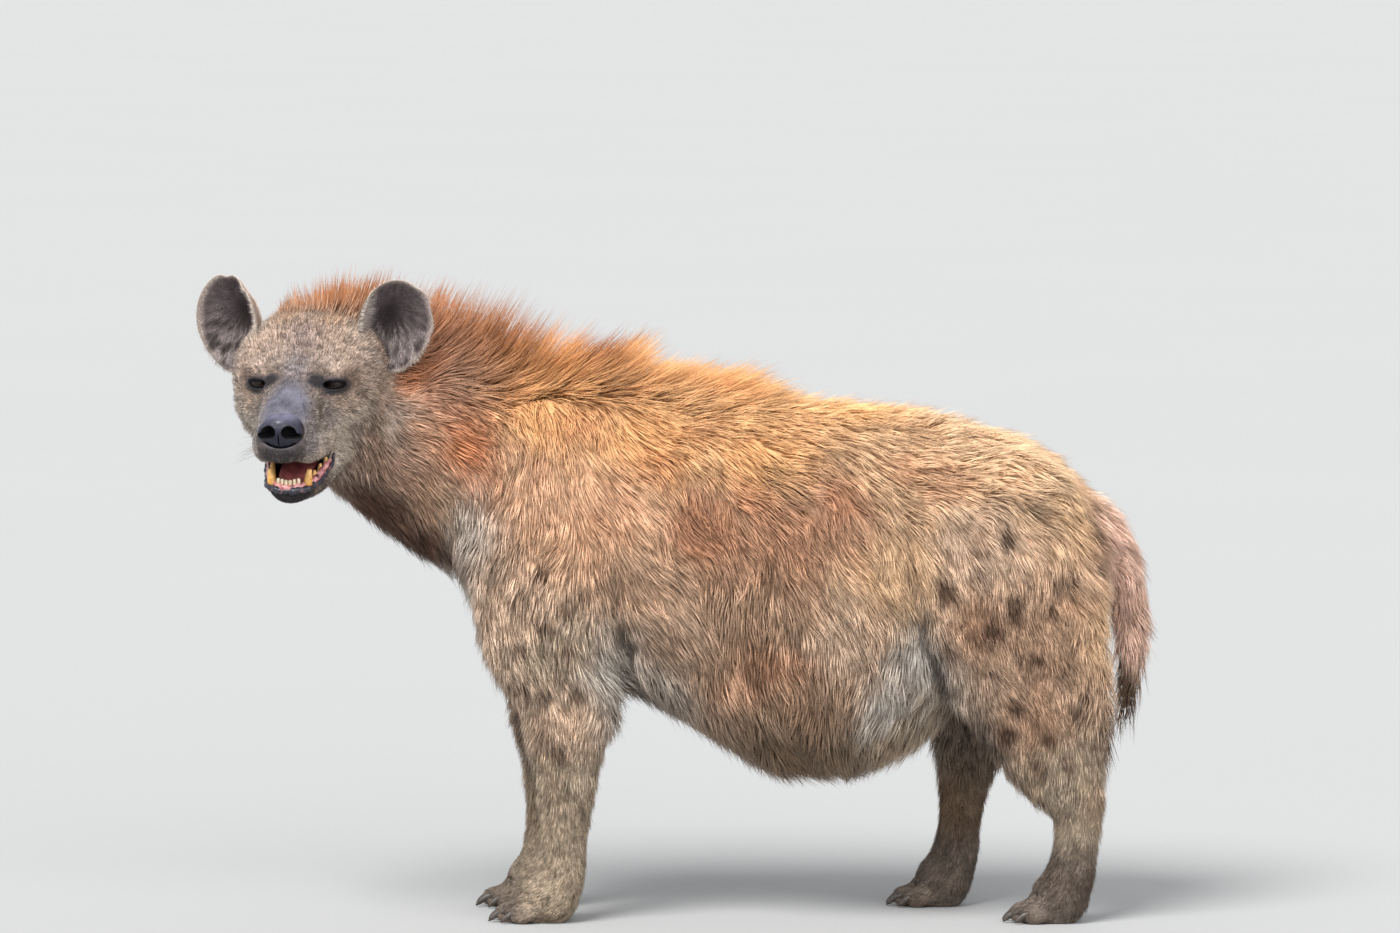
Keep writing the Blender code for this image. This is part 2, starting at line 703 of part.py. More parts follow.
EAR_AT = (-0.098, 0.117, 0.067)
EAR_HALF = (0.054, 0.071)  # across and up
EAR_LEAN = math.radians(14)  # outwards at the top
EAR_TURN = math.radians(26)  # its opening, outwards
EAR_DEPTH = 0.034
EAR_THICK = 0.0075
EAR_NICKS = {-1: ((1.75, 0.10, 0.16), (2.45, 0.09, 0.16)), 1: ((0.55, 0.04, 0.2),)}  # angle, depth, half width


def ear_form(side):
    """A cupped ear: a dish with a rounded, nicked edge and the same triangles on both faces."""
    rings, around = 4, 24
    up = unit(np.array([-0.10, math.sin(EAR_LEAN) * side, math.cos(EAR_LEAN)]))
    facing = np.array([math.cos(EAR_TURN), math.sin(EAR_TURN) * side, 0.05])
    facing = unit(facing - up * (facing @ up))
    across = np.cross(up, facing) * side
    centre = np.array(EAR_AT) * (1, side, 1)
    front, back = [], []
    for i in range(1, rings + 1):
        r = i / rings
        for angle in np.linspace(0, 2 * math.pi, around, endpoint=False):
            nick = sum(deep * math.exp(-(((angle - at) / half) ** 2)) for at, deep, half in EAR_NICKS[side])
            edge = r * (1 - nick * r**3)
            x = EAR_HALF[0] * edge * math.cos(angle) * (1.0 + 0.10 * math.sin(angle))
            y = EAR_HALF[1] * edge * math.sin(angle) - 0.012 * (1 - r)
            bowl = 0.012 * r**4 * math.cos(angle) ** 2 - EAR_DEPTH * (1 - r**2)
            at = centre + across * x + up * y + facing * bowl
            front.append(at)
            back.append(at - facing * EAR_THICK * (1 - 0.75 * r**3))
    middle = centre - up * 0.012 - facing * EAR_DEPTH
    points = [head_point(*p) for p in (middle, *front, *back[::-1], middle - facing * EAR_THICK)]
    return points, ear_faces(rings, around)


def ear_faces(rings, around):
    """Fans and rings over the front, then over the back, joined at the rim."""
    count = rings * around
    front = lambda i, j: 1 + i * around + j % around
    back = lambda i, j: 1 + count + (count - 1 - (i * around + j % around))
    last = 1 + 2 * count
    faces = []
    for j in range(around):
        faces += [(0, front(0, j), front(0, j + 1)), (last, back(0, j + 1), back(0, j))]
        for i in range(rings - 1):
            a, b, c, d = front(i, j), front(i + 1, j), front(i + 1, j + 1), front(i, j + 1)
            faces += [(a, b, c), (a, c, d)]
            a, b, c, d = back(i, j), back(i + 1, j), back(i + 1, j + 1), back(i, j + 1)
            faces += [(a, c, b), (a, d, c)]
        a, b = front(rings - 1, j), front(rings - 1, j + 1)
        c, d = back(rings - 1, j + 1), back(rings - 1, j)
        faces += [(a, d, c), (a, c, b)]
    return faces


def eye_at(side):
    return (-0.003, EYE_SPREAD * side, 0.0)


def build_head(crest):
    head = blend("head", skull_forms() + [neck_form()], HEAD_VOXEL)
    relax(head, 26, face_softness)
    thin_out(head, HEAD_TRIANGLES)
    union(head, crest)
    behind = half_space("cutter", HEAD_CUT_AT, -HEAD_CUT_WAY)
    boolean(head, behind, "DIFFERENCE")
    remove(behind)
    keep_largest(head)
    return head


def face_softness(points):
    """How much each point of the head evens out: less by the eyes, the nose and the lips."""
    softness = np.ones(len(points))
    crisp = [(eye_at(1), 0.026, 0.35), (eye_at(-1), 0.026, 0.35), ((0.125, 0, -0.050), 0.035, 0.3)]
    crisp.append(((0.070, 0, -0.118), 0.060, 0.4))
    for at, reach, least in crisp:
        away = np.linalg.norm(points - head_point(*at), axis=1) / reach
        softness = np.minimum(softness, least + (1 - least) * np.clip(away - 0.6, 0, 1))
    return softness


def carve(obj, form):
    cutter = join_forms("cutter", [form])
    boolean(obj, cutter, "DIFFERENCE")
    remove(cutter)


def peg(at, along, radius, tip_radius, length, around=5):
    """A tooth or claw: a short blunt cone, its root a point inside what it grows from."""
    rows = [(0.0, radius), (0.70, (radius * 0.65 + tip_radius * 0.35)), (1.0, tip_radius)]
    along = unit(np.array(along, float))
    side = unit(np.cross(along, (0.3, 0.9, 0.31)))
    other = np.cross(along, side)
    at = np.array(at, float)
    points = [at - along * radius]
    for share, wide in rows:
        for turn in np.linspace(0, 2 * math.pi, around, endpoint=False):
            points.append(at + along * share * length + wide * (math.cos(turn) * side + math.sin(turn) * other))
    points.append(at + along * (length + tip_radius * 0.6))
    return np.array(points), ring_faces(len(rows), around)


def teeth_forms():
    """The lower teeth, worn and blunt: canines, incisors and cheek teeth."""
    forms = []
    for side in (-1, 1):
        canine = head_point(0.075, 0.0245 * side + JAW_SHIFT, -0.137)
        forms.append(peg(canine, UP + 0.16 * side * LEFT + 0.10 * FORWARDS, *CANINE))
        for i in range(3):
            incisor = head_point(0.086 - 0.0015 * i, (0.0026 + 0.0052 * i) * side + JAW_SHIFT, -0.136)
            forms.append(peg(incisor, UP + 0.10 * FORWARDS, *INCISOR, around=4))
            aside = (0.0295 + 0.0045 * i) * side + JAW_SHIFT
            cheek_tooth = head_point(0.053 - 0.016 * i, aside, -0.131 + 0.006 * i)
            forms.append(peg(cheek_tooth, UP + 0.05 * side * LEFT, *CHEEK_TOOTH))
    return forms


def union(obj, forms):
    """Fuses these closed forms with the object, in one Boolean."""
    group = bpy.data.collections.new("pieces")
    for points, faces in forms:
        piece = make_object("piece", points, faces)
        face_out(piece)
        bpy.context.scene.collection.objects.unlink(piece)
        group.objects.link(piece)
    fuse = obj.modifiers.new("fuse", "BOOLEAN")
    fuse.operation = "UNION"
    fuse.operand_type = "COLLECTION"
    fuse.collection = group
    apply_modifiers(obj)
    remove(*group.objects)
    bpy.data.collections.remove(group)
    keep_largest(obj)


def build_tongue():
    points, faces = head_tube(TONGUE, around=10, between=1, dome=0.9)
    return join_forms("tongue", [(points + LEFT * JAW_SHIFT, faces)])


def build_face(head, neck):
    """Opens the mouth, the nostrils and the lids, and makes the eyes, the ears and the tongue."""
    nodes = {"head": head}
    at, half, pitch = MOUTH
    carve(head, head_mass(at, half, pitch=pitch, around=16))
    for side, word in ((1, "left"), (-1, "right")):
        for ((ahead, aside, up), half, yaw), around in ((NOSTRIL, 10), (NOSTRIL_SLIT, 8), (LID_SLIT, 14)):
            carve(head, head_mass((ahead, aside * side, up), half, yaw=yaw * side, around=around))
        carve(head, head_mass(eye_at(side), [EYE_RADIUS + GAP] * 3, around=16))
        nodes["eye_" + word] = join_forms("eye_" + word, [head_mass(eye_at(side), [EYE_RADIUS] * 3, around=16)])
    union(head, teeth_forms())
    nodes["tongue"] = build_tongue()
    seat(nodes["tongue"], head)
    for side, word in ((1, "left"), (-1, "right")):
        ear = join_forms("ear_" + word, [ear_form(side)])
        seat(ear, head)
        seat(ear, neck)
        nodes["ear_" + word] = ear
    return nodes


def build_tail(torso, chance):
    slim = np.interp(range(len(TAIL)), *TAIL_SLIM)
    rows = [(x, 0.0, z, wide * k, reach * k, reach * k) for (x, z, wide, reach), k in zip(TAIL, slim)]
    tail = join_forms("tail", [tube(rows, (1, 0, 0), around=12, between=1, power=2.0)])
    union(tail, tail_locks(chance))
    seat(tail, torso)
    return tail


COLOURS = {
    "head": (0.36, 0.29, 0.22),
    "neck": (0.45, 0.25, 0.13),
    "torso": (0.55, 0.36, 0.20),
    "tail": (0.22, 0.14, 0.10),
    "foreleg_left": (0.42, 0.33, 0.25),
    "foreleg_right": (0.42, 0.33, 0.25),
    "hindleg_left": (0.50, 0.36, 0.24),
    "hindleg_right": (0.42, 0.30, 0.22),
    "ear_left": (0.16, 0.13, 0.12),
    "ear_right": (0.16, 0.13, 0.12),
    "eye_left": (0.03, 0.02, 0.015),
    "eye_right": (0.03, 0.02, 0.015),
    "tongue": (0.45, 0.14, 0.13),
}


def paint(obj, colour, roughness):
    material = bpy.data.materials.new(obj.name + "_finish")
    material.use_nodes = True
    shader = material.node_tree.nodes["Principled BSDF"]
    shader.inputs["Base Color"].default_value = (*colour, 1)
    shader.inputs["Roughness"].default_value = roughness
    obj.data.materials.clear()
    obj.data.materials.append(material)


def shade(obj):
    """Shades the round surface smooth and leaves the edges of the cuts sharp."""
    obj.data.shade_smooth()
    obj.data.set_sharp_from_angle(angle=SHARP_ANGLE)


def centre_on_floor(nodes):
    """Moves everything so that the origin is midway in X and Y, on the floor."""
    corners = np.array([(read_points(o).min(0), read_points(o).max(0)) for o in nodes.values()])
    low, high = corners[:, 0].min(0), corners[:, 1].max(0)
    shift = np.array([-(low[0] + high[0]) / 2, -(low[1] + high[1]) / 2, 0.0])
    for obj in nodes.values():
        write_points(obj, read_points(obj) + shift)
    print("origin shift", shift, "low", low + shift, "high", high + shift)


def main():
    for obj in list(bpy.data.objects):
        bpy.data.objects.remove(obj)
    chance = np.random.default_rng(SEED)
    body, crest = build_body(chance)
    nodes = part_body(body)
    nodes.update(build_face(build_head(crest), nodes["neck"]))
    nodes["tail"] = build_tail(nodes["torso"], chance)
    centre_on_floor(nodes)
    for name, obj in nodes.items():
        obj.name = name
        paint(obj, COLOURS[name], EYE_ROUGHNESS if name.startswith("eye") else COAT_ROUGHNESS)
        shade(obj)
        print(name, sum(len(p.vertices) - 2 for p in obj.data.polygons), "triangles")


main()
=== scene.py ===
"""The looks of a spotted hyena, a still, life-size museum model.

One skin with its coat in tufts, the eyes, lids, nose, lips, teeth, tongue, ears and claws, a pale floor and
soft light. Metres, +Z up. The forms are written in the hyena's own coordinates, HOME away from the frame's.
"""

import math

import bmesh
import bpy
import numpy as np
from mathutils import Matrix, Vector
from mathutils.bvhtree import BVHTree
from mathutils.kdtree import KDTree


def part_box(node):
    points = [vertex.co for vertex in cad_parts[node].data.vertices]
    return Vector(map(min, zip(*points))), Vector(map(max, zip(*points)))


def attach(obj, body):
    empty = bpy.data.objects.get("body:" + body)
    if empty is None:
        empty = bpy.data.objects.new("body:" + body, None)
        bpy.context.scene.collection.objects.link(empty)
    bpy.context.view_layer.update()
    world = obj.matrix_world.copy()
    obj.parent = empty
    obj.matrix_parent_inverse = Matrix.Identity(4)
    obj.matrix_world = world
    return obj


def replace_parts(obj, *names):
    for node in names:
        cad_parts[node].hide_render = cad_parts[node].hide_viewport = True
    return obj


FLESH = ["head", "neck", "torso", "foreleg_left", "foreleg_right", "hindleg_left", "hindleg_right", "tail"]
SIDES = ((1, "left"), (-1, "right"))
SEED = 11


def thousandths(rows):
    """A table written in millimetres and thousandths, as metres and shares."""
    return np.array(rows) / 1000


# ---- sizes of the skin ----
BODY_VOXEL = 0.0055
HEAD_VOXEL = 0.003
SKIN_VOXEL = 0.0026
SKIN_TRIANGLES = 190000
GAP = 0.0003  # round the eyeballs

EYES_AT = np.array([-0.565, -0.190, 0.779])  # midway between the eyeballs
HEAD_YAW = math.radians(10.5)  # from -Y towards -X
HEAD_PITCH = math.radians(4.0)  # nose down
EYE_RADIUS = 0.0145
EYE_SPREAD = 0.0545
EYE_BACK = 0.003
FORELEG_Y = 0.086
HINDLEG_Y = 0.092
FORELEG_FAR_STEP = -0.022
TOE_IN = 0.006

# ---- station tables, through the tips of the short coat, in millimetres ----
# x, top, widest level, bottom, half width
TORSO = thousandths([
    (-325, 640, 550, 455, 75), (-280, 745, 560, 410, 112), (-220, 785, 560, 370, 130),
    (-150, 792, 550, 338, 140), (-80, 780, 530, 308, 152), (0, 764, 500, 266, 172),
    (90, 752, 460, 210, 190), (170, 745, 450, 200, 192), (250, 738, 460, 212, 178),
    (320, 729, 490, 248, 155), (390, 713, 515, 315, 140), (460, 688, 525, 375, 128),
    (520, 652, 525, 400, 108), (565, 603, 520, 430, 74),
])
# x, y, z of the middle, half width, reach upwards, reach downwards
NECK = thousandths([
    (-180, 0, 600, 115, 160, 150), (-270, 0, 625, 112, 152, 160), (-360, -4, 668, 104, 140, 150),
    (-440, -16, 712, 100, 126, 134), (-505, -44, 745, 98, 112, 116), (-540, -85, 762, 94, 98, 104),
])
# x and z of the middle, half width, reach forwards, reach backwards
FORELEG = thousandths([
    (-225, 600, 52, 78, 80), (-245, 520, 56, 90, 90), (-225, 440, 56, 98, 100), (-200, 380, 53, 98, 98),
    (-186, 317, 48, 78, 80), (-190, 270, 43, 64, 66), (-190, 222, 38, 50, 50), (-191, 175, 36, 43, 43),
    (-195, 120, 32, 35, 36), (-200, 70, 36, 38, 38), (-212, 36, 42, 46, 42),
])
HINDLEG_NEAR = thousandths([
    (450, 600, 58, 110, 105), (440, 530, 64, 135, 140), (442, 460, 64, 142, 144), (456, 393, 60, 134, 138),
    (480, 331, 52, 114, 116), (496, 284, 45, 98, 100), (508, 240, 38, 84, 82), (524, 200, 34, 62, 60),
    (538, 165, 31, 44, 42), (536, 115, 28, 34, 34), (528, 70, 32, 36, 36), (515, 36, 38, 44, 40),
])
HINDLEG_FAR = thousandths([
    (450, 600, 58, 110, 105), (430, 530, 64, 130, 138), (415, 460, 64, 130, 140), (402, 393, 60, 115, 130),
    (394, 331, 52, 92, 110), (390, 284, 45, 74, 90), (384, 240, 38, 54, 68), (380, 200, 34, 42, 52),
    (378, 165, 31, 36, 40), (374, 115, 28, 32, 33), (366, 70, 32, 35, 36), (353, 36, 38, 43, 40),
])
LEGS = [
    (FORELEG, -1, FORELEG_Y, 0.0, 1.0),
    (FORELEG, 1, FORELEG_Y, FORELEG_FAR_STEP, 1.0),
    (HINDLEG_NEAR, -1, HINDLEG_Y, 0.0, 0.92),
    (HINDLEG_FAR, 1, HINDLEG_Y, 0.0, 0.92),
]
PAW_MASSES = [((0.012, 0.022), (0.046, 0.034, 0.030)), ((0.004, 0.004), (0.030, 0.028, 0.014))]
TOES = ((0.044, -0.028), (0.062, -0.0105), (0.062, 0.0105), (0.044, 0.028))  # ahead and across
TOE_HEIGHT = 0.013
TOE_HALF = (0.022, 0.0105, 0.0165)
TOE_SPLAY = math.radians(-9)
TOE_CLEFT = 0.0065
# x, z, radius of the bones and flesh of the tail
TAIL = thousandths([
    (530, 590, 36), (570, 562, 34), (600, 508, 30), (614, 440, 26.5), (618, 370, 21), (611, 305, 11),
])

# Head tables: forwards of the eyes, height of the middle, half width, reach upwards, reach downwards
CRANIUM = thousandths([
    (-175, 0, 86, 70, 85), (-140, 0, 103, 84, 90), (-100, 0, 111, 89, 92), (-65, 0, 110, 83, 90),
    (-35, -2, 102, 70, 86), (-12, -8, 86, 54, 80), (12, -20, 58, 44, 72), (32, -29, 47, 42, 63),
    (56, -40, 44, 38, 56), (80, -51, 42, 35, 48), (102, -59, 39, 32, 41), (117, -63, 35, 29, 35),
])
JAW = thousandths([
    (-100, -70, 76, 45, 42), (-60, -86, 68, 40, 46), (-20, -106, 58, 30, 41), (20, -124, 49, 19, 34),
    (50, -136, 42, 13, 26), (72, -142, 37, 12, 20), (86, -144, 31, 11, 15),
])
JAW_SHIFT = 0.004  # to the hyena's left, as it pants
NOSE_AT = np.array([0.113, 0.003, -0.0525])
NOSE_HALF = np.array([0.0255, 0.0320, 0.0260])
# Openings: place, half sizes, pitch and yaw in degrees
MOUTH = ((0.040, 0.002, -0.1155), (0.080, 0.036, 0.0155), 9, 0)
MOUTH_CORNERS = ((0.036, 0.044, -0.104), (0.042, 0.018, 0.0095), 12, 22)
LID_SLIT = ((0.014, 0.0570, -0.0010), (0.018, 0.0192, 0.0068), 0, -8)

# The mane: x, y of its roots, the height of its tips, and how far it leans back in thousandths of its rise
MANE = thousandths([
    (-536, -80, 904, 100), (-505, -48, 918, 250), (-460, -26, 904, 400), (-400, -10, 892, 500),
    (-335, -2, 880, 600), (-300, 0, 864, 650), (-264, 0, 872, 680), (-225, 0, 842, 900),
    (-170, 0, 824, 1050), (-125, 0, 836, 950), (-88, 0, 804, 1350), (-40, 0, 792, 1600), (20, 0, 785, 1900),
    (100, 0, 776, 2200),
])

# ---- the coat ----
TINTS = {
    "golden": (0.99, 0.585, 0.275), "amber": (0.72, 0.365, 0.15), "cream": (0.88, 0.61, 0.38),
    "fawn": (0.9, 0.58, 0.375), "straw": (0.76, 0.56, 0.41), "sand": (0.58, 0.385, 0.26),
    "russet": (0.52, 0.3, 0.188), "rust": (0.56, 0.212, 0.095), "flame": (0.45, 0.188, 0.072),
    "ember": (0.59, 0.242, 0.112), "clay": (0.43, 0.28, 0.205), "bark": (0.43, 0.284, 0.19),
    "drab": (0.48, 0.385, 0.285), "ash": (0.6, 0.55, 0.49), "pale": (0.68, 0.58, 0.49),
    "stone": (0.43, 0.322, 0.252), "dusk": (0.33, 0.252, 0.228), "pebble": (0.48, 0.38, 0.32),
    "mouse": (0.26, 0.23, 0.24), "smoke": (0.17, 0.135, 0.11), "brown": (0.23, 0.16, 0.105),
    "umber": (0.11, 0.06, 0.04), "slate": (0.11, 0.104, 0.126), "soot": (0.022, 0.018, 0.02),
    "silver": (0.86, 0.77, 0.67), "rose": (0.9, 0.62, 0.49),
}
# Place in millimetres, lie, length in millimetres, lift in degrees and tint. The rows off the middle plane
# serve both sides. On the head the place and the lie are forwards, to the left and up from the eyes.
HEAD_COAT = [
    (85, 0, -22, -1, 0, 0.3, 1.6, 10, "slate"), (45, 0, -2, -1, 0, 0.4, 2, 10, "slate"),
    (44, 40, -36, -1, 0.2, 0, 4, 18, "smoke"), (80, 42, -62, -1, 0.2, -0.2, 4.4, 20, "mouse"),
    (58, 52, -92, -1, 0.2, -0.4, 6, 22, "pale"), (34, 57, -80, -1, 0.3, -0.3, 7, 22, "silver"),
    (118, 15, -88, -0.3, 0.4, -0.8, 3.4, 18, "smoke"), (14, 0, 24, -0.8, 0, 0.6, 5, 16, "mouse"),
    (2, 50, 28, -0.6, 0.3, 0.7, 7, 20, "pebble"), (-8, 62, 36, -0.6, 0.3, 0.7, 7, 18, "stone"),
    (18, 36, 4, -0.8, 0.1, 0.5, 3, 12, "umber"), (10, 36, 20, -0.8, 0.1, 0.5, 4.5, 14, "smoke"),
    (6, 74, 2, -0.8, 0.6, 0.2, 3.6, 12, "umber"), (-30, 0, 62, -0.8, 0, 0.6, 8, 17, "dusk"),
    (-35, 45, 60, -0.8, 0.25, 0.5, 9, 17, "stone"), (-85, 0, 84, -1, 0, 0.3, 9, 18, "stone"),
    (-85, 40, 82, -1, 0, 0.3, 10, 20, "sand"), (-132, 0, 92, -1, 0, 0.6, 26, 36, "flame"),
    (-132, 50, 88, -1, 0.1, 0.5, 22, 32, "flame"), (-80, 72, 74, -0.8, 0.5, 0.3, 13, 24, "pale"),
    (-55, 98, 20, -0.9, 0.5, 0, 10, 17, "pebble"), (8, 68, -26, -0.8, 0.4, -0.3, 6, 15, "stone"),
    (26, 58, -46, -0.8, 0.4, -0.2, 6.5, 19, "mouse"), (12, 66, -72, -0.8, 0.5, -0.3, 8, 24, "silver"),
    (10, 62, -96, -0.8, 0.4, -0.4, 8, 24, "silver"), (-30, 97, -45, -0.8, 0.3, -0.5, 12, 19, "pale"),
    (-10, 82, -92, -0.7, 0.3, -0.6, 14, 22, "silver"), (-85, 110, -10, -0.8, 0.4, -0.4, 11, 20, "pale"),
    (-85, 106, -70, -0.7, 0.3, -0.7, 12, 20, "pale"), (-60, 86, -120, -0.8, 0.2, -0.6, 15, 20, "pebble"),
    (-20, 72, -112, -0.8, 0.3, -0.5, 12, 22, "silver"), (75, 0, -165, -0.9, 0, -0.4, 3.4, 18, "umber"),
    (85, 24, -148, -0.6, 0.5, -0.5, 2, 14, "umber"), (35, 50, -138, -1, 0.1, -0.3, 6, 17, "smoke"),
    (0, 0, -165, -1, 0, -0.2, 10, 18, "smoke"),
]
BODY_COAT = [
    (-520, -60, 850, 0.4, 0, 1, 34, 36, "flame"), (-400, 0, 810, 0.6, 0, 0.8, 36, 32, "flame"),
    (-300, 0, 795, 0.8, 0, 0.6, 38, 28, "flame"), (-240, -60, 770, 0.8, 0, -0.1, 38, 25, "amber"),
    (-180, 0, 790, 1, 0, 0.3, 40, 25, "flame"), (-80, 0, 775, 1, 0, 0.2, 38, 25, "golden"),
    (40, 0, 755, 1, 0, 0.1, 38, 25, "golden"), (200, 0, 740, 1, 0, 0, 38, 25, "golden"),
    (380, 0, 710, 1, 0, -0.2, 36, 24, "cream"), (500, 0, 650, 0.8, 0, -0.6, 34, 24, "cream"),
    (-430, -95, 775, 1, 0, 0.1, 32, 18, "ember"), (-400, -110, 700, 0.9, 0, -0.4, 28, 16, "russet"),
    (-470, -120, 720, 0.8, 0, -0.6, 22, 16, "clay"), (-460, -120, 680, 0.7, 0, -0.7, 22, 16, "clay"),
    (-430, -110, 650, 0.7, 0, -0.7, 24, 16, "clay"), (-470, -70, 615, 0.7, 0, -0.7, 20, 16, "umber"),
    (-395, -60, 555, 0.7, 0, -0.7, 24, 16, "umber"), (-380, -100, 610, 0.6, 0, -0.8, 28, 17, "bark"),
    (-440, -60, 590, 0.7, 0, -0.7, 24, 17, "umber"), (-420, 0, 555, 0.8, 0, -0.6, 24, 17, "umber"),
    (-345, -115, 690, 0.5, 0, -0.9, 32, 18, "ember"), (-335, -100, 580, -0.1, 0, -1, 34, 21, "pale"),
    (-345, 0, 490, 0, 0, -1, 36, 20, "ash"), (-230, -90, 740, 0.4, -0.3, -0.6, 36, 22, "golden"),
    (-260, -140, 650, 0, 0, -1, 32, 18, "fawn"), (-210, -150, 560, 0.1, 0, -1, 32, 18, "fawn"),
    (-250, -140, 470, 0.1, 0, -1, 30, 18, "straw"), (-200, -145, 400, 0.1, 0, -1, 28, 18, "drab"),
    (-120, -130, 370, 0.4, 0, -0.9, 34, 20, "ash"), (-80, -130, 700, 0.75, 0, -0.6, 36, 20, "golden"),
    (-120, -150, 610, 0.45, 0, -0.9, 36, 18, "fawn"), (0, -170, 580, 0.5, 0, -0.87, 36, 18, "russet"),
    (-90, -160, 490, 0.55, 0, -0.85, 36, 19, "sand"), (-70, -150, 390, 0.6, 0, -0.8, 36, 20, "bark"),
    (-90, -130, 345, 0.6, 0, -0.8, 36, 20, "ash"), (-120, 0, 310, 1, 0, -0.1, 30, 18, "smoke"),
    (80, -150, 700, 0.8, 0, -0.55, 36, 20, "golden"), (100, -190, 570, 0.5, 0, -0.87, 36, 18, "russet"),
    (80, -195, 450, 0.35, 0, -0.94, 36, 18, "bark"), (10, -180, 360, 0.35, 0.2, -0.9, 38, 20, "sand"),
    (130, -190, 350, 0.3, 0.1, -0.95, 36, 20, "bark"), (120, -150, 250, 0.5, 0.3, -0.75, 36, 20, "brown"),
    (100, 0, 200, 1, 0, -0.1, 32, 20, "brown"), (270, -150, 670, 0.85, 0, -0.5, 36, 20, "cream"),
    (200, -180, 600, 0.6, 0, -0.8, 36, 18, "russet"), (270, -170, 510, 0.4, 0, -0.9, 34, 18, "cream"),
    (215, -185, 410, 0.1, 0, -1, 36, 20, "straw"), (295, -140, 372, -0.5, 0, -0.85, 36, 20, "ash"),
    (275, -145, 318, -0.4, 0, -0.9, 36, 20, "ash"), (200, -175, 330, 0, 0.1, -1, 36, 20, "bark"),
    (200, -140, 235, 0.2, 0.2, -0.9, 36, 20, "brown"), (290, -90, 275, -0.3, 0.2, -0.9, 34, 18, "drab"),
    (400, -120, 660, 0.9, 0, -0.45, 34, 21, "cream"), (390, -150, 550, 0.5, 0, -0.87, 30, 18, "straw"),
    (390, -155, 430, 0.3, 0, -0.95, 22, 20, "sand"), (490, -160, 430, 0.35, 0, -0.93, 22, 20, "sand"),
    (520, -100, 600, 0.75, 0, -0.65, 32, 22, "cream"), (575, -90, 430, 0.5, 0, -0.87, 32, 22, "cream"),
    (470, -145, 300, 0.25, 0, -0.97, 19, 20, "sand"), (420, -30, 360, 0.2, 0, -1, 22, 18, "smoke"),
    (500, -125, 220, 0.1, 0, -1, 18, 16, "drab"), (540, -92, 150, 0, 0, -1, 13, 16, "drab"),
    (525, -92, 70, -0.3, 0, -1, 10, 14, "smoke"), (460, -90, 20, -1, 0, -0.4, 4, 12, "smoke"),
    # The rows by the far hind leg are darker than the near leg's, smoke and brown where it is drab: painted
    # shade.
    (385, 120, 250, 0, 0, -1, 18, 16, "smoke"), (375, 92, 150, 0, 0, -1, 13, 16, "brown"),
    (365, 92, 70, -0.3, 0, -1, 10, 14, "smoke"), (300, 90, 20, -1, 0, -0.4, 4, 12, "smoke"),
    (-190, -130, 300, 0.05, 0, -1, 22, 16, "straw"), (-190, -110, 200, 0, 0, -1, 15, 15, "drab"),
    (-195, -90, 110, 0, 0, -1, 11, 14, "drab"), (-270, -85, 20, -1, 0, -0.4, 4, 12, "smoke"),
    (-240, -86, 48, -0.9, 0, -0.6, 6, 13, "drab"), (-190, -40, 270, 0, 0, -1, 16, 16, "smoke"),
    (588, -20, 540, 0.55, 0, -0.8, 28, 15, "rose"), (610, -20, 480, 0.2, 0, -1, 30, 13, "rose"),
    (622, -16, 410, 0, 0, -1, 34, 12, "rose"), (618, -10, 340, -0.1, 0, -1, 42, 10, "brown"),
    (611, -6, 300, -0.1, 0, -1, 50, 8, "umber"),
]
LONGER = 1.30  # the body's hair, than in its table
FLATTER = 0.76  # its lift
# x, z, half width, half height, strength; on the left side, and shifted a little on the right
SPOTS_AND_RIDGE_SHADE = thousandths([
    (348, 474, 12, 18, 980), (436, 553, 9, 15, 900), (395, 529, 19, 9, 650), (393, 496, 12, 12, 700),
    (445, 450, 12, 18, 980), (414, 417, 14, 20, 980), (388, 405, 11, 11, 700), (355, 383, 10, 21, 700),
    (481, 376, 11, 8, 980), (457, 383, 13, 10, 700), (417, 360, 8, 8, 850), (450, 311, 12, 14, 980),
    (436, 268, 15, 13, 980), (495, 261, 12, 12, 980), (510, 484, 10, 11, 550), (529, 484, 4.5, 17, 980),
    (499, 446, 6, 6, 980), (531, 398, 4.5, 12, 850), (547, 403, 5, 8, 850), (514, 364, 13, 11, 700),
    (512, 338, 11, 9, 550), (545, 326, 8, 6, 850), (538, 297, 11, 11, 550), (476, 417, 11, 10, 500),
    (467, 598, 21, 17, 550), (428, 604, 13, 16, 500), (500, 560, 12, 10, 450), (576, 587, 10, 10, 800),
    (564, 547, 8, 10, 900), (576, 508, 8, 12, 800), (480, 215, 12, 14, 700), (525, 225, 9, 12, 650),
    (-252, 529, 11, 12, 700), (-224, 498, 10, 11, 900), (-188, 507, 10, 10, 750), (-255, 464, 11, 13, 800),
    (-193, 445, 11, 11, 800), (-169, 460, 11, 12, 750), (-219, 421, 12, 10, 900), (-252, 388, 13, 11, 800),
    (-190, 382, 11, 13, 900), (-202, 352, 6, 5, 950), (-217, 325, 12, 10, 950), (-250, 328, 14, 9, 950),
    (-174, 325, 11, 11, 750), (-200, 239, 13, 14, 750), (-225, 265, 9, 12, 600), (-293, 510, 9, 11, 600),
    (109, 638, 6, 13, 900), (180, 470, 12, 12, 400), (260, 440, 12, 14, 450), (300, 560, 12, 12, 500),
    # From (-120, 712) to (140, 696), the four flat rows are a line of painted shadow under the ridge of the
    # back.
    (225, 545, 8, 12, 400), (-120, 712, 24, 5, 250), (10, 708, 26, 5, 250), (80, 700, 26, 6, 350),
    (140, 696, 20, 6, 350), (112, 668, 10, 16, 450),
])
